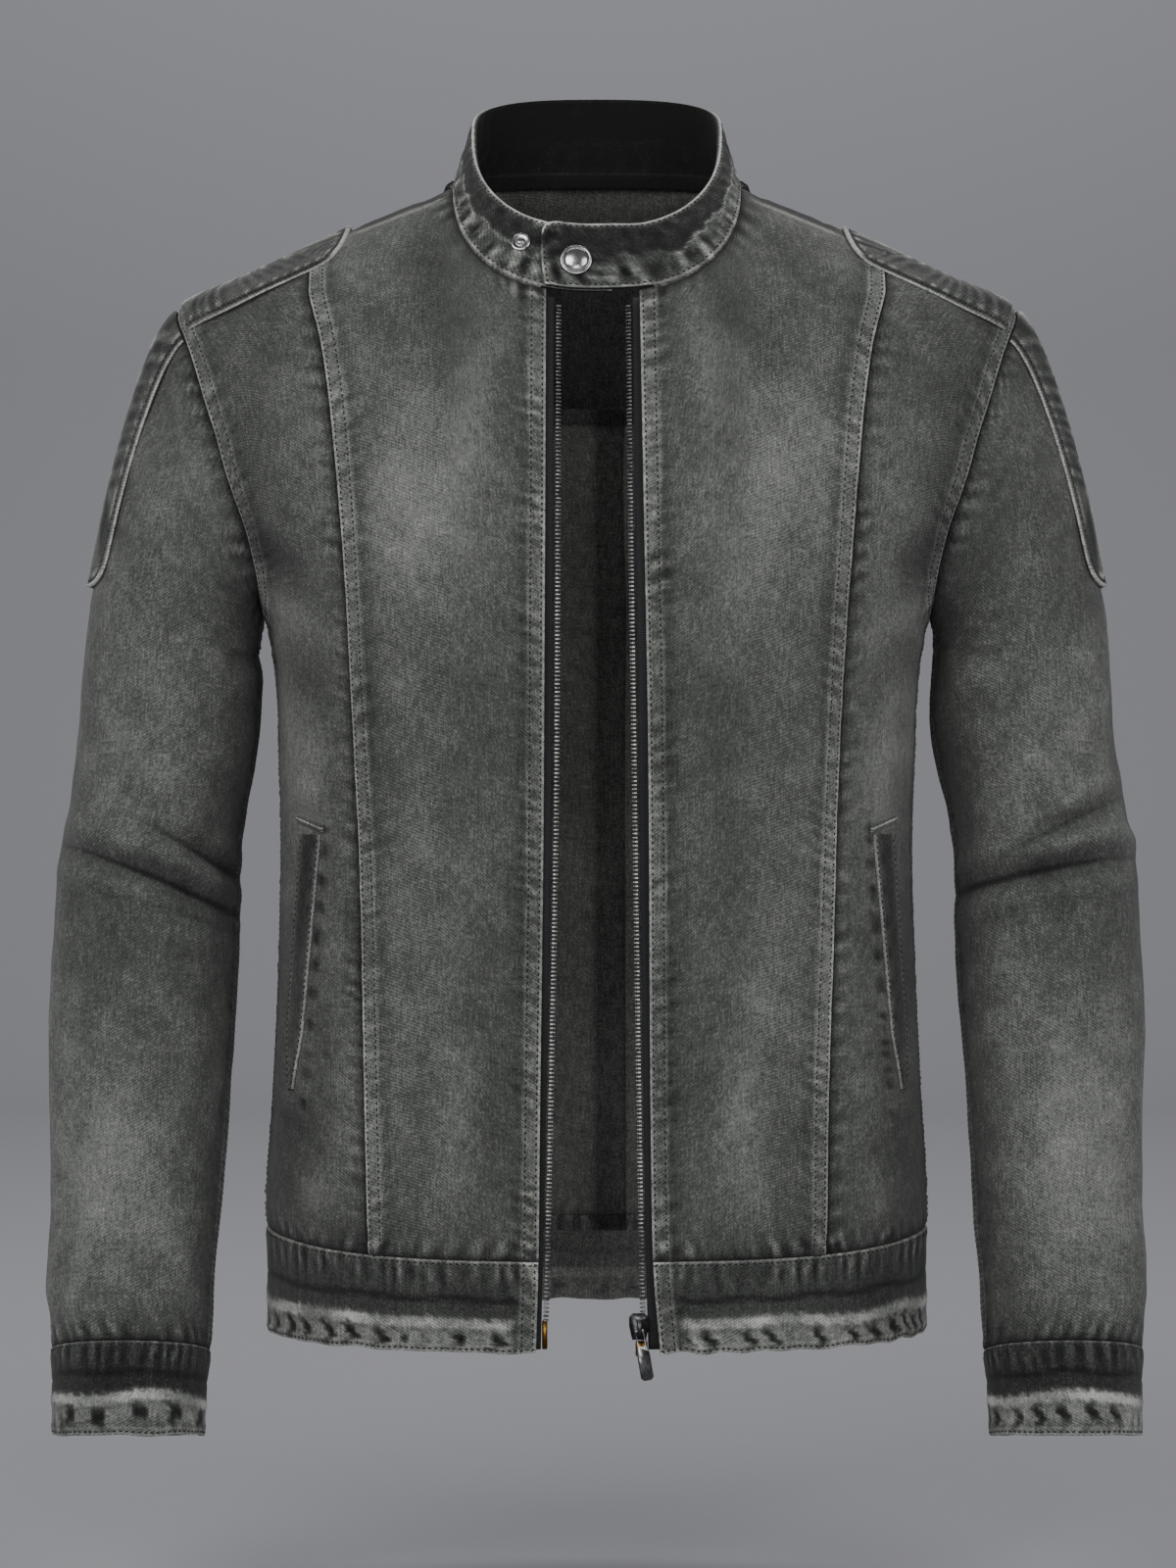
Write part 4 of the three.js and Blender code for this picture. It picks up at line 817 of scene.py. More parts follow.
ridge_heights = np.linspace(SHOULDER_TIP, 0, 400)
ridge_sides = body_side(ridge_heights)
front_rows_of_stitches = []
for side, half in HALVES.items():
    centre, side_panel, foot = front_lines(side)
    top, length = -0.05, 0.551
    heights = top - inset(steps(length, tongues="end"), length) * length
    rows = seam_shares(heights, ARM_ROWS, top, foot)
    sheet = Sheet(on_body(centre), inset(steps(0.118), 0.118), rows, side)
    seam(sheet, "right", "lapped", 11 + side)
    seam(sheet, "left", "lapped", 21 + side, 1.2)
    seam(sheet, "top", "tucked", 31 + side, 1.3)
    # On part of the shoulder ridge, a dark band is painted just below it as painted shadow where the yoke laps
    # forward over the ridge, with a pale line under it.
    reach = np.abs(sheet.points[..., 0])
    below = np.interp(-reach, -ridge_sides, ridge_heights) - sheet.points[..., 2]
    on_ridge = (1 - fall(reach, 0.083, 0.092)) * fall(reach, 0.132, 0.142)
    sheet.raise_by(0, on_ridge * (0.5 * bell(below, 0.0072, 0.001) - 0.8 * fall(below, 0.0040, 0.0062)))
    seam(sheet, "bottom", "tucked", 41 + side, 1.5, tongue=ALLOWANCE_IN_BAND)
    folds(sheet, FRONT_FOLDS + SIDE_FOLDS)
    weathered_and_shaded(sheet, ("top", "bottom"))
    sew_on("front_" + half, sheet, denim_cloth, "denim", rests_on=("back_yoke", "collar"))
    for edge in ("left", "right"):
        keep_off = (("top", 0.004), ("bottom", 0.002))
        front_rows_of_stitches += [sheet.row_beside(edge, ROW_NEAR, keep_off),
                                   sheet.row_beside(edge, ROW_FAR, keep_off)]

    columns = inset(steps(0.072, tongues="start"), 0.072)
    sheet = Sheet(on_body(side_panel), columns, rows, side)
    seam(sheet, "left", "tucked", 61 + side, 1.1, tongue=ALLOWANCE_UNDER)
    seam(sheet, "bottom", "tucked", 71 + side, 1.5, tongue=ALLOWANCE_IN_BAND)
    seam(sheet, "right", "lapped", 81 + side, 1.1)
    folds(sheet, FRONT_FOLDS + SIDE_FOLDS)
    weathered_and_shaded(sheet, ("top", "bottom", "right"))
    beside_welt(sheet, 125 + side)
    sew_on("front_side_" + half, sheet, denim_cloth, "denim", rests_on=("back_yoke",))
    keep_off = (("left", 0.002), ("bottom", 0.002), ("top", 0.002))
    front_rows_of_stitches += [sheet.row_beside("right", ROW_NEAR, keep_off),
                               sheet.row_beside("right", ROW_FAR, keep_off)]
stitch_rows("stitching_fronts", front_rows_of_stitches)


# Welt pockets: a slanting strip of doubled denim on each side panel, sewn down along both edges,
# with a raised bar of dense stitching across its top.
WELT_WIDTH, WELT_TAPER, WELT_POINT = 0.012, 0.75, 0.45
WELT_WALL, BAR_WALL = 0.0016, 0.0026
BAR_ABOVE, BAR_RISE, BAR_REACH, BAR_WIDTH = 0.001, 0.006, 0.015, 0.003
ON_CLOTH = 0.0003


def front_place(x_of, z_of):
    def at(s, t):
        x, z = x_of(s, t), z_of(s, t)
        angle = angle_at(x, z, FRONT)
        return body_point(angle, z), normal_of(body_point, angle, z)
    return at


welt_place = front_place(
    lambda s, t: (lerp(*WELT_X, t) + (s - 0.5) * WELT_WIDTH * lerp(1, WELT_TAPER, t)
                  * lerp(1, WELT_POINT, 1 - fall(t, 0.75, 1))),
    lambda s, t: lerp(WELT_TOP, WELT_BOTTOM, t) + 0 * s)
bar_place = front_place(
    lambda s, t: WELT_X[0] + (s - 0.5) * BAR_REACH + 0 * t,
    lambda s, t: WELT_TOP + BAR_ABOVE + (1 - t) * BAR_WIDTH + s * BAR_RISE)
welt_stitches = []
for side, half in HALVES.items():
    sheet = Sheet(welt_place, np.linspace(0, 1, 17), steps(0.143, pitch=0.002), side)
    across = (sheet.s - 0.5) * 2
    pucker = np.tanh(1.5 * waver(131 + side, 0.007, 0.02)(sheet.v))
    sheet.raise_by(ON_CLOTH + WELT_WALL - 0.0006 * across ** 4 - 0.0007 * bell(across, 0.1, 0.4),
                   (0.45 + 0.25 * (across < 0)) * bell(np.abs(across), 0.92, 0.16)
                   - lerp(0.35, 0.0, sheet.t) * bell(across, 0.15, 0.5)
                   - 0.3 * np.maximum(pucker, 0) * bell(across, -0.45, 0.25))
    sew_on("pocket_welt_" + half, sheet, dark_denim_cloth, "dark_denim",
                   rests_on=("front_side_" + half,), inner_height=np.full(sheet.s.shape, ON_CLOTH))
    keep_off = (("top", 0.003), ("bottom", 0.003))
    welt_stitches += [sheet.row_beside(edge, 0.0014, keep_off) for edge in ("left", "right")]
    sheet = Sheet(bar_place, np.linspace(0, 1, 46), np.linspace(0, 1, 9), side)
    rib = np.sin(2 * math.pi * sheet.s * 15)
    round_top = 1 - (2 * sheet.t - 1) ** 2
    sheet.raise_by(ON_CLOTH + 0.0008 + 0.0015 * round_top + 0.0003 * rib * round_top,
                   1.1 * bell(sheet.t, 0.25, 0.16) + 0.9 * bell(sheet.t, 0.75, 0.16) - 0.3 + 0.15 * rib)
    sew_on("pocket_bar_" + half, sheet, denim_cloth, "denim", cloth=False,
           inner_height=np.full(sheet.s.shape, ON_CLOTH))
stitch_rows("stitching_welts", welt_stitches)


# Back: one yoke over both shoulders, and two lower panels joined down the middle.
YOKE_TURN = math.radians(72)
YOKE_MIDDLE = -0.126
YOKE_ARM_ROWS = 4
YOKE_RIDGE = 3 / 16


def yoke_seam(share):
    angle, z = armhole(np.array(YOKE_TURN))
    return lerp(-angle, QUARTER, share), lerp(z, YOKE_MIDDLE, np.sin(share * QUARTER))


def yoke_flipped(s, line):
    angle, z = line
    return np.where(s > 0.5, math.pi - angle, angle), z


def yoke_side(far):
    def line(t):
        angle, z = armhole(YOKE_TURN * t)
        return (math.pi + angle if far else -angle), z
    return line


def yoke_top(s):
    across = np.minimum(s, 1 - s)
    turn = QUARTER * np.clip((across - YOKE_RIDGE) / (0.5 - YOKE_RIDGE), 0, 1) ** NECK_CROWDING
    neck_angle, neck_z = neckline(turn, BACK)
    ridge_z = lerp(SHOULDER_TIP, 0, np.clip(across / YOKE_RIDGE, 0, 1))
    on_ridge = across < YOKE_RIDGE
    return yoke_flipped(s, (np.where(on_ridge, 0, neck_angle), np.where(on_ridge, ridge_z, neck_z)))


yoke_lines = patch(yoke_side(False), yoke_side(True), yoke_top,
                   lambda s: yoke_flipped(s, yoke_seam(2 * np.minimum(s, 1 - s))))
BACK_FOLDS = [
    (190, -190, 120, -260, 16, -1.8), (200, -160, 130, -190, 14, 1.4), (150, -270, 60, -330, 22, 1.6),
    (60, -200, 40, -420, 28, -1.4), (110, -340, 120, -560, 26, 1.5), (30, -430, 90, -590, 20, -1.1),
]
BACK_FADES = [(90, -200, 50, 60, 0.12), (70, -380, 40, 120, 0.10), (0, -300, 12, 300, -0.08),
              (110, -60, 40, 25, 0.08)]
back_stitches = []
sheet = Sheet(on_body(yoke_lines), inset(steps(0.44), 0.44), inset(steps(0.11), 0.11))
seam(sheet, "top", "tucked", 141, 0.5)
seam(sheet, "bottom", "lapped", 142)
seam(sheet, "left", "lapped", 143)
seam(sheet, "right", "lapped", 144)
folds(sheet, BACK_FOLDS)
weathered_and_shaded(sheet, ("top", "left", "right"), BACK_FADES)
# Its inside is darkened: painted shade inside the jacket.
sew_on("back_yoke", sheet, denim_cloth, "denim", rests_on=("front_left", "front_right"),
       inside_pale=-0.1)
for edge, keep_off in (("bottom", (("left", 0.002), ("right", 0.002))),
                       ("left", (("top", 0.002), ("bottom", 0.001))),
                       ("right", (("top", 0.002), ("bottom", 0.001)))):
    back_stitches += [sheet.row_beside(edge, distance, keep_off) for distance in (ROW_NEAR, ROW_FAR)]

arm_rows = ARM_ROWS - YOKE_ARM_ROWS
lower_lines = patch(
    lambda t: (QUARTER + 0 * t, seam_height(t, arm_rows, YOKE_MIDDLE, BAND_MIDDLE, 1)),
    lambda t: side_line(t, arm_rows, YOKE_TURN, BACK),
    lambda s: yoke_seam(1 - s),
    lambda s: (lerp(QUARTER, 0, s), band_top(lerp(QUARTER, 0, s))))
length = YOKE_MIDDLE - BAND_MIDDLE
heights = YOKE_MIDDLE - inset(steps(length, tongues="start end"), length) * length
back_rows = seam_shares(heights, arm_rows, YOKE_MIDDLE, BAND_MIDDLE, 1)
for side, half in HALVES.items():
    columns = inset(steps(0.21, tongues="" if side > 0 else "start"), 0.21)
    sheet = Sheet(on_body(lower_lines), columns, back_rows, side)
    seam(sheet, "left", "lapped" if side > 0 else "tucked", 151 + side, tongue=ALLOWANCE_UNDER)
    seam(sheet, "right", "lapped", 154 + side)
    seam(sheet, "top", "tucked", 157 + side, tongue=ALLOWANCE_UNDER)
    seam(sheet, "bottom", "tucked", 161 + side, 1.4, tongue=ALLOWANCE_IN_BAND)
    folds(sheet, BACK_FOLDS)
    weathered_and_shaded(sheet, ("bottom", "right"), BACK_FADES)
    sew_on("back_" + half, sheet, denim_cloth, "denim", rests_on=("back_yoke",))
    keep_off = (("top", 0.003), ("bottom", 0.002))
    sewn = ("left", "right") if side > 0 else ("right",)
    back_stitches += [sheet.row_beside(edge, distance, keep_off)
                      for edge in sewn for distance in (ROW_NEAR, ROW_FAR)]
stitch_rows("stitching_back", back_stitches)


# Hem band: a strip folded double and sewn to the body's edge, in three lengths that meet at the
# side seams. Rubbing has worn a white line along its fold, with dark hollows left below.
BAND_PROUD, BAND_WALL = 0.0007, 0.0022


def band_lines(start, end):
    def lines(s, t):
        angle = lerp(start(t), end, s)
        return angle, lerp(band_top(angle) - SEAM_PLAY, HEM, t)
    return lines


def worn_band(sheet, seed, stripe, upper=0.20, wave=0.0007):
    """Puckers below the seam, a dark crease, a white worn stripe and dark blots at the edge."""
    along, t = sheet.u[len(sheet.u) // 2] + 0 * sheet.t, sheet.t
    sheet.points[..., 2] += wave * waver(seed + 5, 0.02, 0.06)(along) * t ** 3
    fine = np.tanh(1.6 * waver(seed, 0.005, 0.012)(along + 0.003 * t))
    broad = waver(seed + 1, 0.03, 0.09)(along)
    blots = np.clip(2.6 * waver(seed + 2, 0.010, 0.024)(along + 0.002 * waver(seed + 7, 0.1, 0.3)(t)) - 0.7, 0, 1)
    tall = 0.085 + 0.03 * waver(seed + 8, 0.012, 0.03)(along)
    drift = (stripe + 0.02 * waver(seed + 3, 0.05, 0.12)(along)
             + 0.012 * waver(seed + 6, 0.004, 0.011)(along))
    crease = stripe - 0.26 + 0.015 * waver(seed + 4, 0.04, 0.1)(along)
    white = fall(np.abs(t - drift), 0.035, 0.08)
    height = 0.00035 * fine * bell(t, 0.12, 0.16) - 0.0005 * bell(t, crease, 0.03)
    height += 0.0006 * bell(t, drift, 0.06) - 0.0007 * blots * bell(t, drift + 0.17, 0.07)
    pale = 0.34 * fine * bell(t, 0.14, 0.16) - upper * fall(t, drift - 0.1, drift - 0.05)
    pale += -0.45 * bell(t, crease, 0.03) + (0.66 + 0.2 * broad) * white
    pale += 0.42 * bell(t, drift + 0.16, 0.12) - 1.2 * blots * bell(t, drift + 0.18, tall)
    pale += 0.35 * bell(t, 0.93, 0.02)
    sheet.raise_by(height, pale)


band_stitches = []
band_rows = steps(0.05, pitch=0.002)
for side, half in HALVES.items():
    edge_angle = lambda t, side=side: angle_at(
        edge_x[side](lerp(BAND_MIDDLE, HEM, t)), lerp(BAND_MIDDLE, HEM, t), FRONT)
    sheet = Sheet(on_body(band_lines(edge_angle, 0)), inset(steps(0.18, pitch=0.0026), 0.18), band_rows, side)
    sheet.raise_by(BAND_PROUD)
    seam(sheet, "top", "hem", 171 + side, 1.2)
    seam(sheet, "bottom", "hem", 173 + side, 0.7)
    seam(sheet, "left", "lapped", 175 + side, 0.8)
    seam(sheet, "right", "tucked", 177 + side, 0.6)
    unworn = sheet.pale
    worn_band(sheet, 181 + 10 * side, 0.68)
    sheet.pale = lerp(sheet.pale, unworn, fall(sheet.beside("left")[0], 0.009, 0.016))
    sew_on("hem_band_front_" + half, sheet, dark_denim_cloth, "dark_denim",
           BAND_WALL + BAND_PROUD, rests_on=("front_" + half, "front_side_" + half))
    keep = (("left", 0.001), ("right", 0.001))
    band_stitches += [sheet.row_beside("top", ROW_NEAR, keep), sheet.row_beside("bottom", ROW_NEAR, keep)]
    keep = (("top", 0.001), ("bottom", 0.001))
    band_stitches += [sheet.row_beside("left", distance, keep) for distance in (ROW_NEAR, ROW_FAR)]
sheet = Sheet(on_body(band_lines(lambda t: 0 * t, math.pi)), inset(steps(0.5, pitch=0.0026), 0.5), band_rows)
sheet.raise_by(BAND_PROUD)
seam(sheet, "top", "hem", 201, 1.2)
seam(sheet, "bottom", "hem", 202, 0.7)
seam(sheet, "left", "tucked", 203, 0.6)
seam(sheet, "right", "tucked", 204, 0.6)
worn_band(sheet, 205, 0.68)
sew_on("hem_band_back", sheet, dark_denim_cloth, "dark_denim",
       BAND_WALL + BAND_PROUD, rests_on=("back_left", "back_right"))
keep = (("left", 0.001), ("right", 0.001))
band_stitches += [sheet.row_beside("top", ROW_NEAR, keep), sheet.row_beside("bottom", ROW_NEAR, keep)]
stitch_rows("stitching_hem_band", band_stitches)


# Stand collar: a strip folded double along its top edge and sewn round the neckline. It starts
# under the tab, goes round the neck and laps over its own start, where the snap holds it.
COLLAR_SIDE, COLLAR_SIDE_TOP = 0.071, 0.034
COLLAR_TOP = {FRONT: -0.033, BACK: 0.057}
COLLAR_DEPTH = {FRONT: 0.074, BACK: 0.048}
COLLAR_RISE = {FRONT: 0.84, BACK: 0.7}
COLLAR_START, COLLAR_END, COLLAR_LEAN = (math.radians(turn) for turn in (-87.9, -459.8, -10.2))
LAP_FROM, LAP_FULL, LAP = math.radians(-431.5), math.radians(-446.6), 0.0032
COLLAR_WALL, COLLAR_SEAM, COLLAR_HEIGHT, COLLAR_CORNER = 0.0024, 0.0013, 0.04, 0.009


def collar_point(turn, up):
    level = np.abs(np.sin(turn))
    crowded = QUARTER * (np.arcsin(np.clip(level, 0, 1)) / QUARTER) ** NECK_CROWDING
    in_front = np.sin(turn) < 0
    found = []
    for face in (FRONT, BACK):
        angle, z = neckline(crowded, face)
        base = body_point(angle, z)
        base[..., 0] *= np.where(np.cos(turn) < 0, -1, 1)
        top = np.stack([
            COLLAR_SIDE * bent(np.cos(turn), NECK_POWER),
            COLLAR_DEPTH[face] * bent(np.sin(turn), NECK_POWER),
            lerp(COLLAR_SIDE_TOP, COLLAR_TOP[face], level ** COLLAR_RISE[face])], -1)
        found.append(lerp(base, top, up[..., None]))
    return np.where(in_front[..., None], *found)


def collar_at(s, t):
    turn = lerp(COLLAR_START, COLLAR_END, s)
    corner = COLLAR_CORNER / NECK_SIDE
    k = np.clip(1 - (turn - COLLAR_END) / corner, 0, 1)
    cut = COLLAR_CORNER / COLLAR_HEIGHT * (1 - np.sqrt(1 - 0.97 * k * k))
    at_opening = (np.sin(turn) < 0) * fall(np.abs(collar_point(turn, 0 * turn)[..., 0]), 0.031, 0.036)
    t = lerp(t, np.minimum(t, 1 + 0.02 * (t - 1)), at_opening)
    up = lerp(1 - cut, COLLAR_SEAM / COLLAR_HEIGHT, t)
    turn = turn + COLLAR_LEAN * up * (1 - fall(-turn, -LAP_FROM, -COLLAR_END))
    out = normal_of(collar_point, turn, up, 4e-3, 4e-3)
    lap = LAP * (1 - fall(-turn, -LAP_FROM, -LAP_FULL))
    return collar_point(turn, up) + out * lap[..., None], out


sheet = Sheet(collar_at, steps(0.52, pitch=0.0022), steps(0.042, pitch=0.0018, tongues="end"))
seam(sheet, "top", "hem", 211, 0.9)
seam(sheet, "bottom", "hem", 212, 1.5, tongue=ALLOWANCE_UNDER)
seam(sheet, "right", "hem", 213, 1.2)
seam(sheet, "left", "hem", 214, 0.6)
along, t = sheet.u[len(sheet.u) // 2] + 0 * sheet.t, sheet.t
turn = np.degrees(lerp(COLLAR_START, COLLAR_END, sheet.s))
top_gap = sheet.beside("top")[0]
ragged = 0.53 + 0.05 * waver(215, 0.02, 0.06)(along) + 0.02 * waver(216, 0.005, 0.012)(along)
stub = fall(-turn, 96, 104) + (1 - fall(-turn, 425, 435))
fine = np.tanh(1.6 * waver(217, 0.007, 0.016)(along + 0.006 * t))
upper = fall(t, ragged - 0.04, ragged + 0.04) * (1 - fall(top_gap, 0.001, 0.004))
sheet.raise_by(0.0004 * fine * bell(t, 0.78, 0.22) + 0.0005 * bell(t, ragged + 0.03, 0.05),
               -0.5 * upper + 0.5 * bell(t, ragged + 0.03, 0.03) * (1 - np.clip(stub, 0, 1))
               + (0.18 + 0.32 * fine) * bell(t, 0.8, 0.2) + 0.45 * bell(top_gap, 0, 0.0016))
tab = 1 - fall(-turn, 425, 436)
blots = np.clip(1.8 * waver(218, 0.010, 0.024)(along) - 0.4, 0, 1)
mottle = rumple(219, 0.007, 0.016)(along, 0.042 * t)
sheet.raise_by(-0.0004 * blots * bell(t, 0.78, 0.16),
               -0.9 * blots * bell(t, 0.78, 0.14) + 0.10 * mottle - 0.12 * tab)
# The collar's inside is painted dark: painted shade inside the neck.
COLLAR_INSIDE_SHADE = -1.0
sew_on("collar", sheet, dark_denim_cloth, "dark_denim", COLLAR_WALL,
       rests_on=("front_left", "front_right", "back_yoke"), inside_pale=COLLAR_INSIDE_SHADE)
collar_sheet = sheet
keep = (("left", 0.0015), ("right", 0.001))
stitch_rows("stitching_collar", [
    sheet.row_beside("top", ROW_NEAR, keep), sheet.row_beside("bottom", ROW_NEAR, keep),
    sheet.row_beside("right", ROW_NEAR, (("top", 0.0015), ("bottom", 0.0015))),
    sheet.row_beside("left", ROW_NEAR, (("top", 0.0015), ("bottom", 0.0015)))])


# Sleeves: two lengths of cloth each, joined down the back and under the arm, slightly bent at
# the elbow, where the cloth has set in hard slanting creases. They are set in at the armholes.
SLEEVE = sizes(
    "z x y width depth",
    (-268, 243, 3, 49.8, 62), (-305, 243.8, 3, 52.3, 61), (-331, 246.8, 2, 52.2, 60),
    (-356, 250.5, 0, 51.2, 58.5), (-381, 254.8, -3, 51.8, 57), (-455, 257, -14, 52.6, 53),
    (-528, 258.6, -29, 49, 49), (-577, 258.6, -41, 47, 46.5), (-624, 261, -52, 46, 45.5),
    (-657, 259.7, -60, 43.6, 43.5), (-682, 259.8, -66.6, 42.4, 41.8), (-708, 259.6, -73.4, 41.6, 40.5))
SLEEVE_POWER = 0.95
BICEP, WRIST, CUFF_END = -0.268, -0.657, -0.707
CAP_SHARE = 0.995
CAP_TOP, CAP_SIDE, CAP_UNDER = (0.056, 0, -0.025), (0.044, -0.006, -0.046), (0.003, 0, 0.046)
BACK_SEAM_TURN, UNDER_SEAM_TURN = math.radians(-72), math.pi
ELBOW_CREASES = {
    # outer and inner height, where round the sleeve, how far round, depth and width
    -1: [(-378, -418, 92, 105, 5.5, 7), (-344, -396, 138, 60, 3.6, 6), (-400, -430, 120, 70, 1.6, 6),
         (-368, -402, -92, 80, 3, 8)],
    1: [(-386, -406, 92, 105, 5.2, 7), (-350, -400, 66, 70, 3.8, 6), (-364, -390, 38, 50, 2.0, 6),
        (-376, -412, -92, 80, 3, 8)],
}
SOFT_CREASES = [
    (-330, -300, 120, 60, 1.6, 12), (-300, -262, 150, 45, 2.2, 9), (-276, -240, 165, 40, 1.8, 8),
    (-430, -470, 120, 55, 1.5, 11), (-452, -448, 60, 45, 1.0, 10), (-560, -590, 110, 50, 1.4, 14),
    (-622, -606, 70, 60, 1.3, 10), (-640, -630, 10, 45, 1.0, 7), (-636, -648, 140, 40, 1.2, 7),
    (-610, -640, -70, 60, 1.3, 11), (-330, -352, -120, 60, 1.6, 12), (-420, -450, -60, 70, 1.8, 12),
]
BANK_ABOVE, BANK_BELOW, BANK_AWAY = 0.5, 0.75, 2
CREASE_LINE = 0.0021
ELBOW_SPAN, ELBOW_PITCH = (-0.338, -0.442), 0.0013
sleeve_x, sleeve_y, sleeve_width, sleeve_depth = (
    through(SLEEVE, name) for name in ("x", "y", "width", "depth"))


def sleeve_ring(z, turn):
    tilt = np.arctan((sleeve_y(z + 0.004) - sleeve_y(z - 0.004)) / 0.008)
    forward = sleeve_depth(z) * bent(np.sin(turn), SLEEVE_POWER)
    return np.stack([sleeve_x(z) + sleeve_width(z) * bent(np.cos(turn), SLEEVE_POWER),
                     sleeve_y(z) - forward * np.cos(tilt), z + forward * np.sin(tilt)], -1)


def cap_point(turn, v):
    start_point = body_point(*armhole(turn, CAP_SHARE))
    end_point = sleeve_ring(BICEP + 0 * turn, turn)
    cos, side_share = np.cos(turn)[..., None], (np.sin(turn) ** 2)[..., None]
    end = np.where(cos > 0, CAP_TOP, CAP_UNDER)
    back = np.where(np.sin(turn) < 0, -1.0, 1.0)[..., None] * np.array([0, 1, 0]) + np.array([1, 0, 1])
    start = end * cos * cos + np.array(CAP_SIDE) * side_share * back
    reach = np.linalg.norm(end_point - start_point, axis=-1, keepdims=True)
    finish = unit(sleeve_ring(BICEP - 0.005 + 0 * turn, turn) - end_point) * reach
    v = v[..., None]
    u = 1 - v
    return (start_point * (1 + 2 * v) * u * u + end_point * v * v * (3 - 2 * v)
            + start * v * u * u - finish * v * v * u)


def sleeve_point(turn, v):
    z = np.where(v < 2, lerp(BICEP, WRIST, v - 1), lerp(WRIST, CUFF_END, v - 2))
    ring = sleeve_ring(np.minimum(z, BICEP), turn)
    return np.where((v < 1)[..., None], cap_point(turn, np.minimum(v, 1)), ring)


def sleeve_out(turn, v):
    out = normal_of(sleeve_point, turn, v, 4e-3, 4e-3)
    at_body = normal_of(body_point, *armhole(turn, CAP_SHARE))
    return unit(lerp(at_body, out, np.clip(v / 0.04, 0, 1)[..., None]))


def creases(rows, turn, z):
    """How far creases move the cloth, and how near the bottom of a crease each point is."""
    total, sharp = np.zeros(turn.shape), np.zeros(turn.shape)
    for outer, inner, middle, spread, depth, width in rows:
        away = np.abs(((turn - math.radians(middle)) / math.pi + 3) % 2 - 1) * math.pi
        line = lerp(outer, inner, (1 - np.cos(turn)) / 2) / 1000
        offset = (z - line) / (width / 1000)
        form = (BANK_ABOVE * bell(offset, BANK_AWAY, 1) + BANK_BELOW * bell(offset, -BANK_AWAY, 1)
                - bell(offset, 0, 1))
        reach = math.radians(spread)
        strength = np.where(away < reach, np.cos(away / reach * QUARTER), 0)
        total += depth / 1000 * form * strength ** 2
        # Each crease is drawn narrower on the outer side of the sleeve and stronger towards the inner side, next
        # to the body.
        inwards = lerp(0.35, 1, (1 - np.cos(turn)) / 2)
        sharp = np.maximum(sharp, bell(z - line, 0, CREASE_LINE * inwards) * strength * inwards
                           * (depth / 5.5) ** 1.5)
    return total, sharp


def sleeve_at(turn_from, turn_to):
    def at(s, t):
        turn = lerp(turn_from, turn_to, s)
        return sleeve_point(turn, t), sleeve_out(turn, t)
    return at


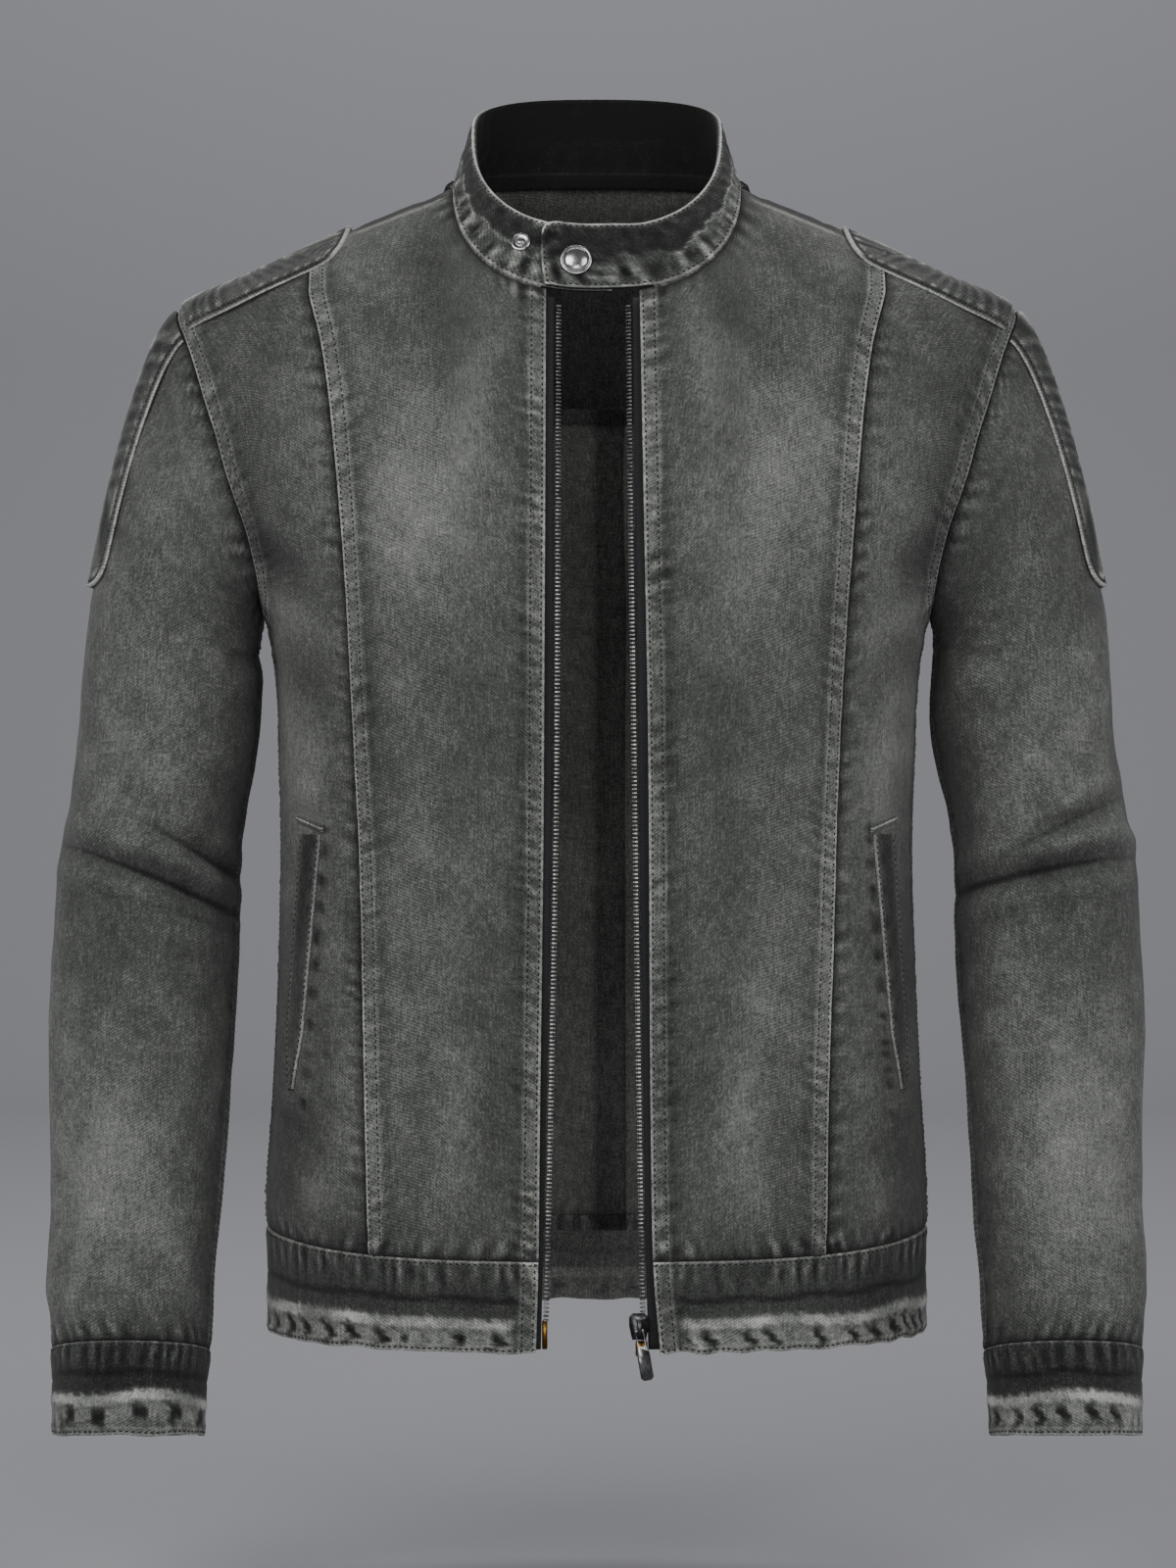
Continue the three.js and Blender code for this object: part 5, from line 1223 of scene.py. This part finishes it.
arm_length = BICEP - WRIST
arm_heights = np.concatenate([
    np.arange(BICEP - PITCH, ELBOW_SPAN[0], -PITCH), np.arange(ELBOW_SPAN[0], ELBOW_SPAN[1], -ELBOW_PITCH),
    np.arange(ELBOW_SPAN[1], WRIST + 0.016, -PITCH), WRIST + EDGE_STEPS[::-1] + 0.0002])
sleeve_rows = np.concatenate([steps(0.11, "start", "start"), 1 + (BICEP - arm_heights) / arm_length])
seam_play_turn = math.radians(0.17)
sleeve_stitches = []
for side, half in HALVES.items():
    for part, start, end, width in (
            ("top", BACK_SEAM_TURN, UNDER_SEAM_TURN, 0.235),
            ("under", UNDER_SEAM_TURN, BACK_SEAM_TURN + 2 * math.pi, 0.1)):
        turns = (start + seam_play_turn, end - seam_play_turn)
        tongues = "" if part == "top" else "start end"
        sheet = Sheet(sleeve_at(*turns), steps(width, tongues=tongues), sleeve_rows, side, ends=(0, 3))
        turn, z = lerp(*turns, sheet.s), lerp(BICEP, WRIST, sheet.t - 1)
        at_cuff = fall(-z, -WRIST - 0.02, -WRIST)
        form, line = creases(ELBOW_CREASES[side], turn, z)
        soft, _ = creases(SOFT_CREASES, turn + 0.25 * side, z)
        # Crease banks are paler and hollows darker, partly wash fade and partly painted shade, and the bottom of
        # each crease is darkened with painted shade, darkest towards the body.
        sheet.raise_by((form + soft - 0.0016 * line) * at_cuff, 22 * (form + soft) - 0.95 * line)
        seam(sheet, "top", "tucked", 221 + side, 1.2, tongue=ALLOWANCE_UNDER)
        seam(sheet, "bottom", "tucked", 223 + side, 1.6)
        for edge in ("left", "right"):
            kind = "lapped" if part == "top" else "tucked"
            seam(sheet, edge, kind, 225 + side, 0.8, tongue=ALLOWANCE_UNDER)
        drape = rumple(231 + side, 0.05, 0.13, lean=0.2, swing=1.4)(turn * 0.05, z)
        crumple = rumple(233 + side, 0.018, 0.04)(turn * 0.05, z)
        # Paleness on the sleeves: wash fades on the front of the forearm and upper arm; painted shade on the
        # inner side, facing the body, and in a band among the elbow creases; and darker just above the cuff.
        sleeve_fade_and_shade = (0.30 * bell(turn, math.radians(75), 0.75) * bell(z, -0.56, 0.07)
                + 0.16 * bell(turn, math.radians(70), 0.7) * bell(z, -0.30, 0.07)
                - 0.16 * bell(turn, math.radians(165), 0.5) - 0.10 * bell(z, -0.41, 0.03)
                - 0.12 * bell(z, -0.65, 0.012))
        # The drape and crumple waves also make the cloth paler where it rises, partly fade and partly painted
        # shade.
        sheet.raise_by((0.0009 * drape + 0.0002 * crumple) * fall(-sheet.t, -0.3, -0.05) * at_cuff,
                       0.04 * drape + 0.04 * crumple + sleeve_fade_and_shade)
        nodes = [f"sleeve_{part}_{half}"] + ([f"sleeve_forearm_{half}"] if part == "top" else [])
        sew_on(nodes, sheet, denim_cloth, "denim",
               rests_on=("front_side_" + half, "back_yoke"))
        if part == "top":
            keep = (("top", 0.002), ("bottom", 0.002))
            sleeve_stitches += [sheet.row_beside(edge, distance, keep)
                                for edge in ("left", "right") for distance in (ROW_NEAR, ROW_FAR)]
stitch_rows("stitching_sleeves", sleeve_stitches)

# Cuffs: a doubled strip sewn round each wrist, worn white along its middle like the hem band.
CUFF_OUT, CUFF_TUCK = 0.00035, 0.0085
cuff_stitches = []
for side, half in HALVES.items():
    columns = np.linspace(0, 2 * math.pi, 109)[:-1]
    sheet = Sheet(lambda s, t: (sleeve_point(s, t), sleeve_out(s, t)), columns,
                  2.002 + 0.998 * steps(0.05, pitch=0.002), side, wrap=True, ends=(2, 4))
    sheet.t = (sheet.t - 2.002) / 0.998
    sheet.points[..., 2] += CUFF_TUCK * (1 - np.sin(sheet.s)) / 2 * np.clip(sheet.t, 0, 1) ** 2
    sheet.raise_by(CUFF_OUT)
    seam(sheet, "top", "hem", 241 + side, 1.2)
    seam(sheet, "bottom", "hem", 243 + side, 0.9)
    worn_band(sheet, 251 + 10 * side, 0.60, 0.42, 0.0003)
    # The cuff's inside is painted dark: painted shade inside the sleeve.
    sew_on("cuff_" + half, sheet, dark_denim_cloth, "dark_denim", BAND_WALL, inside_pale=-0.7,
           rests_on=("sleeve_top_" + half, "sleeve_under_" + half))
    cuff_stitches += [np.concatenate([row, row[:1]]) for row in
                      (sheet.row_beside("top", ROW_NEAR), sheet.row_beside("bottom", ROW_NEAR))]
stitch_rows("stitching_cuffs", cuff_stitches)


# Patches: a corded strip along each shoulder seam and one down the outside of each sleeve, both
# round at one end. Their rims are rolled like piping and their middles are quilted lengthwise.
SHOULDER = {"inner": 0.139, "outer": 0.234, "front": 0.020, "back": 0.012, "bow": 0.006, "end": 0.78}
STRIP = {"top": 0.012, "end": 0.7, "bottom": 0.83, "half_turn": math.radians(40)}
PATCH_LIFT, PATCH_WALL = 0.00095, 0.0016


def round_end(t, start):
    k = np.clip((t - start) / (1 - start), 0, 1)
    return np.maximum(0.3, (1 - k ** 3) ** 0.25)


def shoulder_at(s, t):
    reach = (2 * s - 1) * round_end(t, SHOULDER["end"])
    drop = np.where(reach < 0, SHOULDER["front"], SHOULDER["back"]) * reach * reach
    x = lerp(SHOULDER["outer"] - SHOULDER["bow"] * reach * reach, SHOULDER["inner"], t)
    z = np.interp(-x, -ridge_sides, ridge_heights) - drop
    angle = np.abs(angle_at(x, z, BACK)) * np.where(reach < 0, -1, 1)
    return body_point(angle, z), normal_of(body_point, angle, z)


def strip_at(s, t):
    v = lerp(STRIP["top"], STRIP["bottom"], t)
    turn = STRIP["half_turn"] * (2 * s - 1) * round_end(v / STRIP["bottom"], STRIP["end"] / STRIP["bottom"])
    return sleeve_point(turn, v), sleeve_out(turn, v)


def quilted(sheet, seed):
    """A rolled pale rim, a stitched hollow inside it darkened with painted shadow, and two uneven cords down the
    middle.
    """
    left, along = sheet.beside("left")
    right, _ = sheet.beside("right")
    foot, _ = sheet.beside("bottom")
    rim = np.minimum(np.minimum(left, right), foot)
    lumps = np.tanh(1.5 * waver(seed, 0.008, 0.02)(along))
    dents = np.tanh(1.5 * waver(seed + 1, 0.006, 0.014)(along + 0.3 * left))
    across = 2 * sheet.s - 1
    cord = bell(np.abs(across), 0.3, 0.16)
    groove = bell(rim, 0.0033, 0.001)
    height = PATCH_LIFT + PATCH_WALL + 0.0006 * bell(rim, 0.0013, 0.0011) - 0.0004 * groove
    height += 0.0006 * cord * (1 + 0.5 * lumps) - 0.0003 * bell(across, 0, 0.12)
    height -= 0.0007 * (1 - np.sqrt(1 - np.clip(1 - rim / 0.0009, 0, 1) ** 2))
    # The rim is rubbed pale; the stitched hollow inside it is darkened with painted shadow.
    pale = 0.95 * fall(rim, 0.0015, 0.0024) - 0.8 * bell(rim, 0.0033, 0.0009)
    pale += (0.25 + 0.5 * dents) * bell(rim, 0.0060, 0.0018)
    pale += (0.35 + 0.6 * lumps) * cord * (1 - fall(rim, 0.006, 0.008))
    pale += (-0.3 + 0.5 * dents) * bell(np.abs(across), 0.62, 0.14) + 0.7 * bell(across, 0, 0.1)
    sheet.raise_by(height, pale)


patch_stitches = []
for side, half in HALVES.items():
    for kind, at, rows, under in (
            ("shoulder_patch_", shoulder_at, steps(0.11, "end", pitch=0.002), "back_yoke"),
            ("sleeve_patch_", strip_at, steps(0.16, "end", pitch=0.002), "sleeve_top_" + half)):
        sheet = Sheet(at, np.linspace(0, 1, 37), rows, side)
        quilted(sheet, 261 + side + len(kind))
        sew_on(kind + half, sheet, dark_denim_cloth, "dark_denim", rests_on=(under,),
               inner_height=np.full(sheet.s.shape, PATCH_LIFT))
        keep = (("bottom", 0.003),)
        patch_stitches += [sheet.row_beside(edge, 0.0036, keep) for edge in ("left", "right")]
        patch_stitches.append(sheet.row_beside("bottom", 0.0036, (("left", 0.003), ("right", 0.003))))
stitch_rows("stitching_patches", patch_stitches)


# Zip: a woven black tape behind each front edge with a row of black oxide metal teeth, a slider
# with its pull at the bottom of the wearer's left row, and a brass box and pin.
TAPE_BEHIND, TAPE_UNDER, TAPE_WALL, TAPE_TOP, TAPE_BOTTOM = 0.0007, 0.011, 0.001, -0.073, -0.649
TEETH_WIDTH, TEETH_TOP, TEETH_BOTTOM = 0.0033, -0.078, {1: -0.6437, -1: -0.633}
TEETH_PITCH = 0.0022


def tape_material():
    material, tree = new_material("woven_black_zip_tape")
    cloth = add(tree, "ShaderNodeUVMap", uv_map="cloth").outputs["UV"]
    ribs = add(tree, "ShaderNodeTexWave", {
        "Vector": cloth, "Scale": math.pi / 10 / 0.0009, "Distortion": 0.4},
        bands_direction="Y").outputs["Fac"]
    ramp = add(tree, "ShaderNodeValToRGB", {"Fac": ribs})
    ramp.color_ramp.elements[0].color = linear("#141415")
    ramp.color_ramp.elements[1].color = linear("#2f3031")
    bump = add(tree, "ShaderNodeBump", {"Strength": 0.6, "Distance": 0.0003, "Height": ribs})
    finish_material(tree, add(tree, "ShaderNodeBsdfPrincipled", {
        "Base Color": ramp.outputs["Color"], "Roughness": 0.75, "Specular IOR Level": 0.25,
        "Normal": bump.outputs["Normal"]}))
    return material


# Metal: black oxide is a dark satin skin that rubs to bare metal; nickel plate is bright and
# nearly mirror smooth with fine handling marks; antique brass is brown with a dull shine.
def metal(name, dark, bright, roughness, marks=90.0):
    material, tree = new_material(name)
    place = add(tree, "ShaderNodeTexCoord").outputs["Object"]
    worn = add(tree, "ShaderNodeTexNoise", {
        "Vector": place, "Scale": marks, "Detail": 5.0, "Roughness": 0.7}).outputs["Fac"]
    ramp = add(tree, "ShaderNodeValToRGB", {"Fac": worn})
    ramp.color_ramp.elements[0].position, ramp.color_ramp.elements[1].position = 0.35, 0.7
    ramp.color_ramp.elements[0].color = linear(dark)
    ramp.color_ramp.elements[1].color = linear(bright)
    rough = add(tree, "ShaderNodeMapRange", {
        "Value": worn, "To Min": roughness * 0.75, "To Max": roughness * 1.3}).outputs[0]
    fine = add(tree, "ShaderNodeTexNoise", {"Vector": place, "Scale": 1400.0, "Detail": 2.0})
    bump = add(tree, "ShaderNodeBump", {
        "Strength": 0.06, "Distance": 0.0002, "Height": fine.outputs["Fac"]})
    finish_material(tree, add(tree, "ShaderNodeBsdfPrincipled", {
        "Base Color": ramp.outputs["Color"], "Metallic": 1.0, "Roughness": rough,
        "Normal": bump.outputs["Normal"]}))
    return material


zip_tape = tape_material()
black_oxide = metal("black_oxide_steel", "#2b2b2d", "#77777a", 0.38)
bright_teeth = metal("rubbed_zip_teeth", "#4c4c4d", "#bcbcb8", 0.34, 400.0)
nickel = metal("polished_nickel", "#8f8f8d", "#e2e2df", 0.2)
worn_nickel = metal("smoked_nickel", "#4d4d4e", "#b4b4b1", 0.24, 120.0)
brass = metal("antique_brass", "#6b4b1e", "#a8803c", 0.36)


def zip_tooth():
    """A clamped tooth: a body with bevelled corners that grips the tape, and a nose."""
    bm = bmesh.new()
    for across, along, high, shift in ((0.0020, 0.0012, 0.0020, 0), (0.0012, 0.0008, 0.0013, -0.0014)):
        made = bmesh.ops.create_cube(bm, size=1.0)
        bmesh.ops.scale(bm, vec=(along, across, high), verts=made["verts"])
        bmesh.ops.translate(bm, vec=(0, shift, 0), verts=made["verts"])
    bmesh.ops.bevel(bm, geom=list(bm.edges), offset=0.00022, segments=1, affect="EDGES")
    mesh = bpy.data.meshes.new("tooth")
    bm.to_mesh(mesh)
    bm.free()
    return new_object("tooth", mesh)


tooth_shape = zip_tooth()
teeth_depth = -WALL - TAPE_BEHIND - TAPE_WALL / 2
for side, half in HALVES.items():
    tape_place = front_place(
        lambda s, z, side=side: lerp(teeth_x[side](z) + TEETH_WIDTH / 2 + 0.0003,
                                     edge_x[side](z) + TAPE_UNDER, s),
        lambda s, z: z + 0 * s)
    sheet = Sheet(tape_place, np.linspace(0, 1, 8), np.linspace(TAPE_TOP, TAPE_BOTTOM, 150), side)
    sheet.raise_by(-WALL - TAPE_BEHIND + 0.0001 * waver(271 + side, 0.01, 0.03)(sheet.v), 0.0)
    sew_on("zip_tape_" + half, sheet, zip_tape, "zip_tape", rests_on=("front_" + half,),
           inner_height=sheet.height - TAPE_WALL)
    heights = np.linspace(TEETH_TOP, TEETH_BOTTOM[side], 160)
    angle = angle_at(teeth_x[side](heights), heights, FRONT)
    out = normal_of(body_point, angle, heights)
    line = np.concatenate([body_point(angle, heights) + out * teeth_depth, out], -1)
    line[:, [0, 3]] *= side
    if side < 0:
        line = line[::-1]
    teeth = set_along("zip_teeth_" + half, [line], tooth_shape, TEETH_PITCH, bright_teeth)
    teeth.data.shade_flat()
    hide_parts("zip_teeth_" + half)
bpy.data.objects.remove(tooth_shape)
bpy.data.objects.remove(stitch)


def finer(node, body, material, bevel, weld=1e-5):
    """A CAD part's own shape with its edges rounded."""
    bm = bmesh.new()
    bm.from_mesh(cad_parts[node].data)
    bmesh.ops.remove_doubles(bm, verts=bm.verts, dist=weld)
    bmesh.ops.dissolve_limit(bm, angle_limit=math.radians(1), verts=bm.verts, edges=bm.edges)
    bmesh.ops.recalc_face_normals(bm, faces=bm.faces)
    sharp = [edge for edge in bm.edges if edge.is_manifold and edge.calc_face_angle(0) > math.radians(25)]
    bmesh.ops.bevel(bm, geom=sharp, offset=bevel, segments=2, affect="EDGES", clamp_overlap=True)
    mesh = bpy.data.meshes.new(node)
    bm.to_mesh(mesh)
    bm.free()
    mesh.shade_smooth()
    piece = new_object(node + "_finished", mesh, material)
    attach(piece, body)
    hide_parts(node)
    return piece


finer("zip_slider", "jacket", black_oxide, 0.00025)
finer("zip_pull", "pull_tab", worn_nickel, 0.0002)
finer("zip_box", "jacket", brass, 0.0004)
finer("zip_pin", "jacket", brass, 0.0003)


# Snap: a pressed nickel cap on the collar's tab, and on the other end the bare stud that it
# closes on. Both are turned shapes that sit on the cloth.
CAP_X, CAP_UP, CAP_RADIUS, CAP_HEIGHT = -0.0115, 0.43, 0.009, 0.0034
STUD_X, STUD_UP, STUD_RADIUS, STUD_HEIGHT = -0.0423, 0.55, 0.0056, 0.002
CAP_PROFILE = [(0, 0), (0.9, 0), (0.97, 0.03), (1, 0.12), (1, 0.22), (0.975, 0.34), (0.92, 0.42),
               (0.86, 0.42), (0.815, 0.36), (0.79, 0.4), (0.76, 0.52), (0.68, 0.68), (0.56, 0.82),
               (0.42, 0.92), (0.26, 0.98), (0.1, 1), (0, 1)]
STUD_PROFILE = [(0, 0), (0.94, 0), (1, 0.1), (1, 0.34), (0.93, 0.5), (0.82, 0.58), (0.66, 0.5),
                (0.55, 0.36), (0.36, 0.34), (0.33, 0.5), (0.33, 0.86), (0.28, 0.97), (0.16, 1), (0, 1)]


def snap_part(name, profile, radius, height, x, up, lapped):
    turns = np.linspace(-math.pi, 0, 4000)
    across = collar_point(turns, np.full(turns.shape, up))[:, 0]
    turn = np.array([np.interp(x, across, turns) - (2 * math.pi if lapped else 0)])
    level = np.array([up])
    out = normal_of(collar_point, turn, level, 4e-3, 4e-3)[0]
    lap = LAP if lapped else 0
    place = Vector(collar_point(turn, level)[0] + out * (lap + ON_CLOTH))
    sides = 48
    bm = bmesh.new()
    rings = [[bm.verts.new((radius * r * math.cos(2 * math.pi * k / sides),
                            radius * r * math.sin(2 * math.pi * k / sides), height * h))
              for k in range(sides)] for r, h in profile if r > 0]
    for low, high in zip(rings, rings[1:]):
        for k in range(sides):
            bm.faces.new((low[k], low[(k + 1) % sides], high[(k + 1) % sides], high[k]))
    bm.faces.new(rings[0][::-1])
    bm.faces.new(rings[-1])
    turned = Vector(out).to_track_quat("Z", "Y").to_matrix().to_4x4()
    bm.transform(Matrix.Translation(place) @ turned)
    mesh = bpy.data.meshes.new(name)
    bm.to_mesh(mesh)
    bm.free()
    mesh.shade_smooth()
    piece = new_object(name + "_finished", mesh, nickel)
    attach(piece, "jacket")
    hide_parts(name)


snap_part("snap_cap", CAP_PROFILE, CAP_RADIUS, CAP_HEIGHT, CAP_X, CAP_UP, True)
snap_part("snap_stud", STUD_PROFILE, STUD_RADIUS, STUD_HEIGHT, STUD_X, STUD_UP, False)
